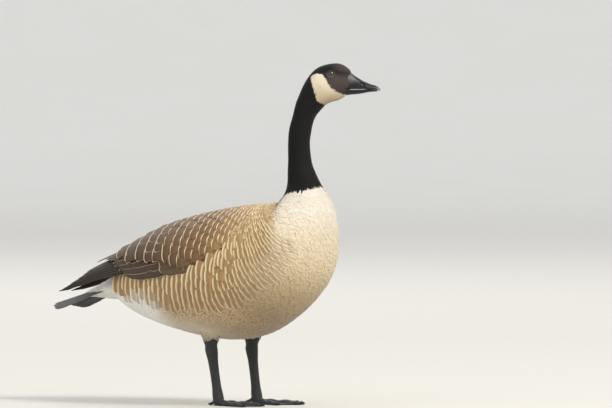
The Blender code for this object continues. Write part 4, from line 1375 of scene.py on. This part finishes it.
def thigh_set(side):
    guide = thighs[side]
    a, b, gap = scatter(guide, np.linspace(4.4, 2.2, guide.rows), np.ones(guide.points.shape[:2]))
    points = guide.pick(guide.points, a, b)
    keep = (points[:, 2] < THIGH_ROOTS[1]) & (points[:, 2] > THIGH_ROOTS[0])
    a, b, gap, points = a[keep], b[keep], gap[keep], points[keep]
    count = len(a)
    laid = lay(
        guide,
        a,
        b,
        gap * 4.6 * rng.uniform(0.85, 1.15, count),
        gap * 0.85,
        body_vane,
        -2.6,
        rng.normal(0.6, 0.12, count),
        swing=rng.normal(0, 0.1, count),
        thick=0.25,
        fray=0.4,
    )
    tone = rng.normal(1, 0.04, (count, 1))
    low = smooth(150, 112, points[:, 2])
    ground = blended(linear(BELLY), linear("#8c7d6c"), low * 0.8)
    laid.update(
        ground=ground * tone,
        rim=np.minimum(ground * 1.25, 0.95) * tone,
        rim_width=gap * 0.3,
        root_uv=unwrapped(guide, a, b),
        patch=0.006,
    )
    return laid


coat("coat_thighs", [thigh_set(side) for side in SIDES.values()], down_finish)

# Bill: two mandibles of smooth black horn over bone, with a raised nail at the tip, an open nostril
# each side, and a comb of fine plates along the edge.
# Each station gives x, the heights of the mouth's line and of the far side, and half the width.
UPPER_BILL = (
    (188, 521.2, 553, 15.6),
    (196, 521.3, 552.8, 15.9),
    (202, 521.4, 550.8, 14.6),
    (208, 521.4, 547, 12.9),
    (214, 521.5, 542.3, 12.2),
    (226.6, 521.5, 534.6, 10.8),
    (241.6, 521.0, 528.5, 9.0),
    (248.6, 520.2, 526, 7.2),
    (252.4, 519.4, 523.6, 4.2),
    (253.8, 519.4, 521.6, 1.5),
)
LOWER_BILL = (
    (188, 520.4, 511.6, 12.6),
    (196, 520.6, 511.4, 12.8),
    (202, 520.7, 511.9, 12.2),
    (208, 520.8, 512.5, 11.2),
    (219.5, 520.9, 513.6, 10.0),
    (233.5, 520.9, 516.2, 8.4),
    (243.5, 520.2, 517.3, 6.6),
    (249.5, 519.4, 517.9, 3.2),
)
NOSTRIL = (224.6, 530.2)
NOSTRIL_HALF = (4.8, 2.1)
NOSTRIL_LEAN = 20.0
ARCH_POINTS = 72
FLAT_POINTS = 12


def bill_rings(rows):
    """Arched sections, closed along the flat of the mouth."""
    x, flat, far, half = splined(rows, 10).T
    angle = np.linspace(0, np.pi, ARCH_POINTS)
    y = half[:, None] * shaped(np.cos(angle), 0.8)
    z = flat[:, None] + (far - flat)[:, None] * shaped(np.sin(angle), 0.9)
    t = np.linspace(-1, 1, FLAT_POINTS + 2)[1:-1]
    y = np.hstack([y, half[:, None] * t])
    z = np.hstack([z, np.repeat(flat[:, None], FLAT_POINTS, 1)])
    return np.stack([x[:, None] + 0 * y, y, z], -1)


def carved_bill(upright, outward, upper):
    """The horn's relief: nostrils, nail, the comb along the edge and the swell at the base."""
    x, y, z = (upright[..., i] for i in range(3))
    lift = np.zeros(x.shape)
    if upper:
        lean = math.radians(NOSTRIL_LEAN)
        p = (x - NOSTRIL[0]) * math.cos(lean) - (z - NOSTRIL[1]) * math.sin(lean)
        q = (x - NOSTRIL[0]) * math.sin(lean) + (z - NOSTRIL[1]) * math.cos(lean)
        away = np.hypot(p / NOSTRIL_HALF[0], q / NOSTRIL_HALF[1])
        lift -= 2.4 * smooth(1.05, 0.7, away) * (np.abs(y) > 3)
        lift += 0.3 * np.exp(-(((away - 1.35) / 0.3) ** 2)) * (np.abs(y) > 3)
        nail = smooth(240.5, 242.5, x + 0.12 * y**2)
        lift += 0.45 * nail
        edge = smooth(3.0, 1.8, z - 521.2) * smooth(204, 210, x) * smooth(244, 238, x)
        lift -= 0.22 * edge * (0.5 + 0.5 * np.cos(2 * np.pi * x / 1.5))
        # A shallow dip runs from the nostril forwards, under the ridge of the bill.
        hollow = np.exp(-(((z - 527.5 + 0.12 * (x - 235)) / 2.2) ** 2))
        lift -= 0.5 * hollow * smooth(228, 233, x) * smooth(243, 239, x)
    else:
        lift -= 0.35 * np.exp(-(((z - 517.6) / 0.8) ** 2)) * smooth(206, 212, x) * smooth(243, 236, x)
    return upright + outward * lift[..., None]


def bill_finish():
    """Black horn with a satin polish and a bluish bloom, paler at the nail and where the edge of the mouth is
    worn, with a painted reflection of the sky on the upper base.
    """
    made, tree, shader = finish_named("black_bill_horn")
    place = node(tree, "TexCoord").outputs["Object"]
    pale_and_reflection = node(tree, "Attribute", attribute_name="pale_and_reflection").outputs["Fac"]
    cloud = node(tree, "TexNoise", {"Vector": place, "Scale": 160.0, "Detail": 4.0}).outputs["Fac"]
    tone = node(tree, "Mix", {"Factor": cloud, "A": rgba("#0b0d12"), "B": rgba("#181d27")}, data_type="RGBA")
    toned = tone.outputs["Result"]
    # Paler horn at the nail and the mouth's edge, and a painted reflection on the upper base.
    worn_and_reflection = node(tree, "Mix", {"Factor": pale_and_reflection, "A": toned, "B": rgba("#8f8b85")}, data_type="RGBA")
    fine = node(tree, "TexNoise", {"Vector": place, "Scale": 1400.0, "Detail": 3.0}).outputs["Fac"]
    rough = node(tree, "MapRange", {"Value": cloud, "To Min": 0.3, "To Max": 0.5})
    bump = node(tree, "Bump", {"Height": fine, "Distance": 0.00012, "Strength": 0.6})
    feed(shader, {"Base Color": worn_and_reflection.outputs["Result"], "Roughness": rough.outputs[0]})
    feed(shader, {"Normal": bump.outputs["Normal"], "Specular IOR Level": 0.32})
    return made


horn = bill_finish()


def make_mandible(name, rows, upper):
    upright = bill_rings(rows)
    outward = Guide(upright, True).normals
    centre = upright.mean(1, keepdims=True)
    outward = outward * np.sign(((upright - centre) * outward).sum(-1).mean())
    upright = carved_bill(upright, outward, upper)
    mesh = tube(world(head_place(*np.moveaxis(upright, -1, 0))), name)
    points = turned(mesh_points(mesh), -HEAD_TURN)
    x, z = points[:, 0], points[:, 2]
    if upper:
        # The nail is paler; the pale patch on the upper base is a painted reflection of the sky.
        pale_and_reflection = 0.8 * smooth(246, 252, x) + 0.25 * smooth(216, 207, x) * smooth(528, 538, z)
    else:
        pale_and_reflection = smooth(519.3, 520.0, z) * smooth(238, 212, x) * smooth(198, 204, x) * 0.4
    mark(mesh, "pale_and_reflection", np.clip(pale_and_reflection, 0, 1))
    return show(name, mesh, horn, ("bill_upper" if upper else "bill_lower",))


make_mandible("mandible_upper", UPPER_BILL, True)
make_mandible("mandible_lower", LOWER_BILL, False)

# Legs and feet: bare skin over bone and tendon, black-grey and scaled, with three webbed toes ahead
# and a small hind toe. Toes, webs and shank are joined and then smoothed into one hide.
# Each station of the shank gives its share of the way down from the heel, half length and half width.
SHANK = (
    (-0.25, 14.0, 11.4),
    (-0.17, 12.6, 10.5),
    (-0.09, 10.6, 8.8),
    (0.0, 11.0, 8.8),
    (0.1, 10.4, 7.8),
    (0.24, 9.0, 6.5),
    (0.5, 8.2, 5.9),
    (0.76, 8.3, 6.1),
    (0.9, 9.4, 7.3),
    (1.0, 9.8, 8.0),
)
# Each toe's degrees from straight ahead, its length, and its radius at the root.
TOES = (("inner", -27.0, 60.0, 5.0), ("middle", 1.0, 80.0, 5.4), ("outer", 27.0, 72.0, 5.0))
TOE_TIP_RADIUS = 3.5
TOE_SINK = 0.8
HIND_SPLAY = 154.0
HIND_REACH = 24.0
HIND_RADIUS = 3.4
HIND_PATH = ((0, 12.0, 1.0), (0.4, 7.0, 0.92), (0.75, 3.2, 0.82), (1.0, 1.9, 0.66))
LEG_VOXEL = 0.9


def bar_rings(centres, up, across, radii, sides=24):
    """Round rings along a bent bar."""
    angle = np.linspace(0, 2 * np.pi, sides, endpoint=False)
    turn = np.cos(angle)[:, None] * np.asarray(up) + np.sin(angle)[:, None] * np.asarray(across)
    return np.asarray(centres)[:, None] + turn[None] * np.asarray(radii)[:, None, None]


def toe_frame(side, splay):
    angle = math.radians(splay)
    ahead = np.array((math.cos(angle), side * math.sin(angle), 0))
    return ahead, np.array((-ahead[1], ahead[0], 0))


def toe_bar(side, splay, length, root_radius):
    root = np.array(TOE_ROOT[side], float)
    ahead, across = toe_frame(side, splay)
    share = np.linspace(-0.08, 1, 40)
    radius = root_radius + (TOE_TIP_RADIUS - root_radius) * share.clip(0)
    radius = radius * (1 + 0.10 * np.cos(6 * np.pi * share)) * (1 - 0.35 * smooth(0.93, 1, share))
    lift = np.clip((root[2] - radius) * (1 - share * 3.2).clip(0) ** 2, 0, None) * 0.5
    centres = root * (1, 1, 0) + ahead * (length * share)[:, None]
    centres[:, 2] = radius - TOE_SINK + lift
    return bar_rings(centres, (0, 0, 1), across, radius)


def web_mesh(side, first, second):
    """The web of skin between two toes, drawn back between their tips and sagging a little."""
    root = np.array(TOE_ROOT[side], float) * (1, 1, 0)
    (_, near_splay, near_length, _), (_, far_splay, far_length, _) = first, second
    bm = bmesh.new()
    bmesh.ops.create_grid(bm, x_segments=24, y_segments=16, size=1)
    for vertex in bm.verts:
        out, share = (vertex.co.x + 1) / 2, (vertex.co.y + 1) / 2
        ahead, _ = toe_frame(side, near_splay + (far_splay - near_splay) * share)
        length = near_length + (far_length - near_length) * share
        reach = 0.95 - 0.12 * math.sin(math.pi * share)
        point = root + ahead * length * reach * (0.02 + 0.98 * out)
        point[2] = 3.6 - 1.1 * math.sin(math.pi * share) * (0.4 + 0.6 * out) + 1.2 * (1 - out)
        vertex.co = world(point)
    bmesh.ops.solidify(bm, geom=bm.faces[:], thickness=1.9 * MM)
    bmesh.ops.recalc_face_normals(bm, faces=bm.faces[:])
    return mesh_from(bm, "web")


def make_leg(name, side):
    heel, root = np.array(HEEL[side], float), np.array(TOE_ROOT[side], float)
    share, half_length, half_width = splined(SHANK, 6).T
    # Over the heel the hide turns out with the thigh, and ends under its feathers.
    over_heel = np.array((0, -12 * side, root[2] - heel[2]))
    below, above = np.maximum(share, 0)[:, None], np.minimum(share, 0)[:, None]
    centres = heel + (root - heel) * below + over_heel * above
    bars = [tube(world(toe_bar(side, *toe[1:])), "toe") for toe in TOES]
    back, across = toe_frame(side, -HIND_SPLAY)
    share, height, size = splined(HIND_PATH, 6).T
    path = root * (1, 1, 0) + back * (HIND_REACH * share)[:, None] + np.array((0, 0, 1)) * height[:, None]
    bars.append(tube(world(bar_rings(path, (0, 0, 1), -across, HIND_RADIUS * size)), "hind"))
    palm = np.array([root + (0, 0, 2), root * (1, 1, 0) + (0, 0, 6), root * (1, 1, 0) + (0, 0, -0.5)])
    bars.append(tube(world(ovals(palm, [9.6, 9.4, 6.5], [8.0, 7.8, 5.4], 24)), "palm"))
    bars += [web_mesh(side, TOES[0], TOES[1]), web_mesh(side, TOES[1], TOES[2])]
    mesh = joined(tube(world(ovals(centres, half_length, half_width, 32)), "shank"), bars)
    made = modified(mesh, "REMESH", mode="VOXEL", voxel_size=LEG_VOXEL * MM)
    bm = bmesh.new()
    bm.from_mesh(made)
    for _ in range(3):
        bmesh.ops.smooth_vert(
            bm, verts=bm.verts[:], factor=0.5, use_axis_x=True, use_axis_y=True, use_axis_z=True
        )
    for vertex in bm.verts:
        vertex.co.z = max(vertex.co.z, 0)
    bm.to_mesh(made)
    bm.free()
    made.name = "leg_" + name
    points = mesh_points(made)
    # Broad scutes cross the top of each toe, and small round scales cover the rest.
    along = np.zeros(len(points))
    on_toe = np.zeros(len(points))
    for _, splay, _, _ in TOES:
        ahead, across = toe_frame(side, splay)
        away = points - root * (1, 1, 0)
        out, off = away @ ahead, away @ across
        near = smooth(5.2, 3.6, np.abs(off)) * (out > 6) * smooth(1.5, 4, points[:, 2]) * (points[:, 2] < 14)
        along = np.where(near > on_toe, out, along)
        on_toe = np.maximum(near, on_toe)
    mark(made, "along_toe", along)
    mark(made, "on_toe", on_toe)
    return show("leg_" + name, made, leg_hide, ("shank_" + name, "foot_" + name))


def leg_finish():
    """Scaled skin, black with a grey bloom: round scales about 1.6 mm across, scutes of 3 mm."""
    made, tree, shader = finish_named("scaled_leg_skin")
    place = node(tree, "TexCoord").outputs["Object"]
    cells = node(tree, "TexVoronoi", {"Vector": place, "Scale": 620.0}, feature="DISTANCE_TO_EDGE")
    grown = node(tree, "MapRange", {"Value": cells.outputs["Distance"], "From Max": 0.16}).outputs[0]
    along, on_toe = (
        node(tree, "Attribute", attribute_name=key).outputs["Fac"] for key in ("along_toe", "on_toe")
    )
    turns = node(tree, "Math", {0: along, 1: math.pi / 3.0}, operation="MULTIPLY").outputs[0]
    wave = node(tree, "Math", {0: turns}, operation="SINE").outputs[0]
    ridge = node(tree, "Math", {0: wave}, operation="ABSOLUTE").outputs[0]
    scute = node(tree, "MapRange", {"Value": ridge, "From Max": 0.35}).outputs[0]
    relief = node(tree, "Mix", {"Factor": on_toe, "A": grown, "B": scute}, data_type="FLOAT").outputs[0]
    cloud = node(tree, "TexNoise", {"Vector": place, "Scale": 90.0, "Detail": 3.0}).outputs["Fac"]
    tone = node(tree, "Mix", {"Factor": cloud, "A": rgba("#1b1c1f"), "B": rgba("#34363a")}, data_type="RGBA")
    toned = tone.outputs["Result"]
    grooved = node(tree, "Mix", {"Factor": relief, "A": rgba("#101113"), "B": toned}, data_type="RGBA")
    bump = node(tree, "Bump", {"Height": relief, "Distance": 0.0003, "Strength": 0.8}).outputs["Normal"]
    feed(shader, {"Base Color": grooved.outputs["Result"], "Normal": bump, "Roughness": 0.5})
    return made


leg_hide = leg_finish()
for leg_name, side in SIDES.items():
    make_leg(leg_name, side)

# Claws: short hooked sheaths of black horn, one at the end of each toe. First length, radius and
# height of the root's middle, then the gap that parts a claw from its toe.
CLAW = (8.0, 2.4, 2.9)
HIND_CLAW = (5.0, 1.9, 2.3)
CLAW_GAP = 0.3
# Along the claw: share of its length, of its radius, and how far it has dropped.
CLAW_FORM = (
    (0, 0.96, 0), (0.12, 1.0, 0), (0.35, 0.86, 0.02), (0.7, 0.55, 0.1), (0.92, 0.26, 0.18), (1.0, 0.1, 0.21)
)


def make_claw(name, side, splay, reach, claw):
    length, radius, height = claw
    ahead, across = toe_frame(side, splay)
    root = np.array(TOE_ROOT[side], float) * (1, 1, 0) + (0, 0, height) + ahead * (reach + CLAW_GAP)
    share, size, drop = splined(CLAW_FORM, 4).T
    centres = root + ahead * (length * share)[:, None] - np.array((0, 0, 1)) * (length * drop)[:, None]
    mesh = tube(world(bar_rings(centres, (0, 0, 1), across * 0.9, radius * size, 20)), "sheath_" + name)
    show("sheath_" + name, mesh, horn, ("claw_" + name,))


for leg_name, side in SIDES.items():
    for toe_name, splay, length, _ in TOES:
        make_claw(f"{leg_name}_{toe_name}", side, splay, length, CLAW)
    make_claw(f"{leg_name}_hind", side, -HIND_SPLAY, HIND_REACH, HIND_CLAW)

# Eyes: moist balls, dark brown with a black pupil. Each sits behind its ring of lid, in a socket cut
# a hair wider than the ball.
IRIS = rgba("#3a1d10")
# Colours from the rim of the iris in to the pupil, each with its place out along the eye's axis as a
# share of the radius.
EYE_RINGS = ((0.80, rgba("#1b0f0b")), (0.88, IRIS), (0.905, IRIS), (0.925, (0.003, 0.003, 0.003, 1)))


def eye_finish(name, side):
    """A wet cornea over a dark brown iris: very smooth, with a sharp glint."""
    made, tree, shader = finish_named("wet_eye_" + name)
    out = unit(head_way((0, side, EYE_LEAN)))
    place = node(tree, "TexCoord").outputs["Object"]
    offset = node(tree, "VectorMath", {0: place, 1: tuple(world(eye_centre(side)))}, operation="SUBTRACT")
    facing = node(tree, "VectorMath", {0: offset.outputs[0], 1: tuple(out)}, operation="DOT_PRODUCT")
    depth = node(tree, "Math", {0: facing.outputs["Value"], 1: EYE_RADIUS * MM}, operation="DIVIDE")
    ring = node(tree, "ValToRGB", {"Fac": depth.outputs[0]})
    ramp = ring.color_ramp.elements
    for _ in EYE_RINGS[2:]:
        ramp.new(0.9)
    for stop, (position, colour) in zip(ramp, EYE_RINGS):
        stop.position, stop.color = position, colour
    wet = {"Roughness": 0.08, "IOR": 1.376, "Coat Weight": 1.0, "Coat Roughness": 0.02}
    feed(shader, {"Base Color": ring.outputs["Color"], **wet})
    return made


for eye_name, side in SIDES.items():
    mesh = ball(eye_centre(side), EYE_RADIUS, "eyeball_" + eye_name)
    show("eyeball_" + eye_name, mesh, eye_finish(eye_name, side), ("eye_" + eye_name,))

# Floor, light and camera: a pale sweep, a broad soft light high before the bird, and the lens of the
# photograph's view.
FLOOR_RADIUS = 16
FLOOR_RISE = 9
CAMERA_AZIMUTH = 28.0
CAMERA_ELEVATION = 1.2
CAMERA_DISTANCE = 12.0
PICTURE_WIDTH = 1.010
AIM = (103.5, 55.0, 331.65)
# Metres from the aim to the right, towards the camera and up, then size, power and colour.
LIGHTS = (
    ("key", 4.75, 4.0, 6.0, 2.75, 590, (1.0, 0.955, 0.88)),
    ("fill", -4.8, 5.2, 2.0, 4.8, 50, (0.94, 0.97, 1.0)),
    ("rear", -1.5, -6.0, 5.5, 4.0, 170, (1.0, 0.98, 0.94)),
)


def stage_finish():
    made, tree, shader = finish_named("pale_sweep")
    place = node(tree, "TexCoord").outputs["Object"]
    cloud = node(tree, "TexNoise", {"Vector": place, "Scale": 3.0}).outputs["Fac"]
    tone = node(tree, "Mix", {"Factor": cloud, "A": rgba("#eae9e5"), "B": rgba("#eeedea")}, data_type="RGBA")
    toned = tone.outputs["Result"]
    # The floor itself is a little deeper than the far sweep, which gets less light.
    reach = node(tree, "VectorMath", {0: place}, operation="LENGTH").outputs["Value"]
    near = node(tree, "MapRange", {"Value": reach, "From Min": 18.0, "From Max": 3.0}).outputs[0]
    deeper = node(tree, "Mix", {"Factor": near, "A": toned, "B": rgba("#cac8c2")}, data_type="RGBA")
    feed(shader, {"Base Color": deeper.outputs["Result"], "Roughness": 0.9})
    return made


def make_floor():
    """A floor that curves up far behind, all round, so that no edge shows."""
    bm = bmesh.new()
    curve = [
        (FLOOR_RADIUS + FLOOR_RISE * math.sin(t), FLOOR_RISE - FLOOR_RISE * math.cos(t))
        for t in np.linspace(0, math.pi / 2, 16)
    ]
    verts = [bm.verts.new((x, 0, z)) for x, z in [(0, 0), *curve]]
    line = verts + [bm.edges.new(pair) for pair in zip(verts, verts[1:])]
    bmesh.ops.spin(
        bm, geom=line, cent=(0, 0, 0), axis=(0, 0, 1), angle=2 * math.pi, steps=96, use_merge=True
    )
    bmesh.ops.remove_doubles(bm, verts=bm.verts[:], dist=1e-4)
    bmesh.ops.recalc_face_normals(bm, faces=bm.faces[:])
    bmesh.ops.reverse_faces(bm, faces=[face for face in bm.faces if face.calc_center_median().z < FLOOR_RISE])
    mesh = mesh_from(bm, "floor")
    made = bpy.data.objects.new("floor", mesh)
    bpy.context.scene.collection.objects.link(made)
    mesh.materials.append(stage_finish())


make_floor()
aim = Vector(world(AIM))
azimuth, elevation = math.radians(CAMERA_AZIMUTH), math.radians(CAMERA_ELEVATION)
back = Vector(
    (
        math.sin(azimuth) * math.cos(elevation),
        -math.cos(azimuth) * math.cos(elevation),
        math.sin(elevation),
    )
)
lens = bpy.data.cameras.new("camera")
lens.sensor_width = 36.0
lens.lens = 36.0 * CAMERA_DISTANCE / PICTURE_WIDTH
lens.clip_end = 100
camera = bpy.data.objects.new("camera", lens)
camera.location = aim + back * CAMERA_DISTANCE
camera.rotation_euler = (-back).to_track_quat("-Z", "Y").to_euler()
bpy.context.scene.collection.objects.link(camera)
bpy.context.scene.camera = camera
right = Vector((math.cos(azimuth), math.sin(azimuth), 0))
for name, *reach, size, power, colour in LIGHTS:
    lamp = bpy.data.lights.new(name, "AREA")
    lamp.size, lamp.energy, lamp.color = size, power, colour
    made = bpy.data.objects.new(name, lamp)
    made.location = aim + right * reach[0] + back * reach[1] + Vector((0, 0, reach[2]))
    made.rotation_euler = (aim - made.location).to_track_quat("-Z", "Y").to_euler()
    bpy.context.scene.collection.objects.link(made)
sky = bpy.data.worlds.new("studio")
sky.use_nodes = True
feed(sky.node_tree.nodes["Background"], {"Color": (0.97, 0.98, 1.0, 1), "Strength": 0.86})
bpy.context.scene.world = sky
bpy.context.scene.view_settings.view_transform = "Standard"
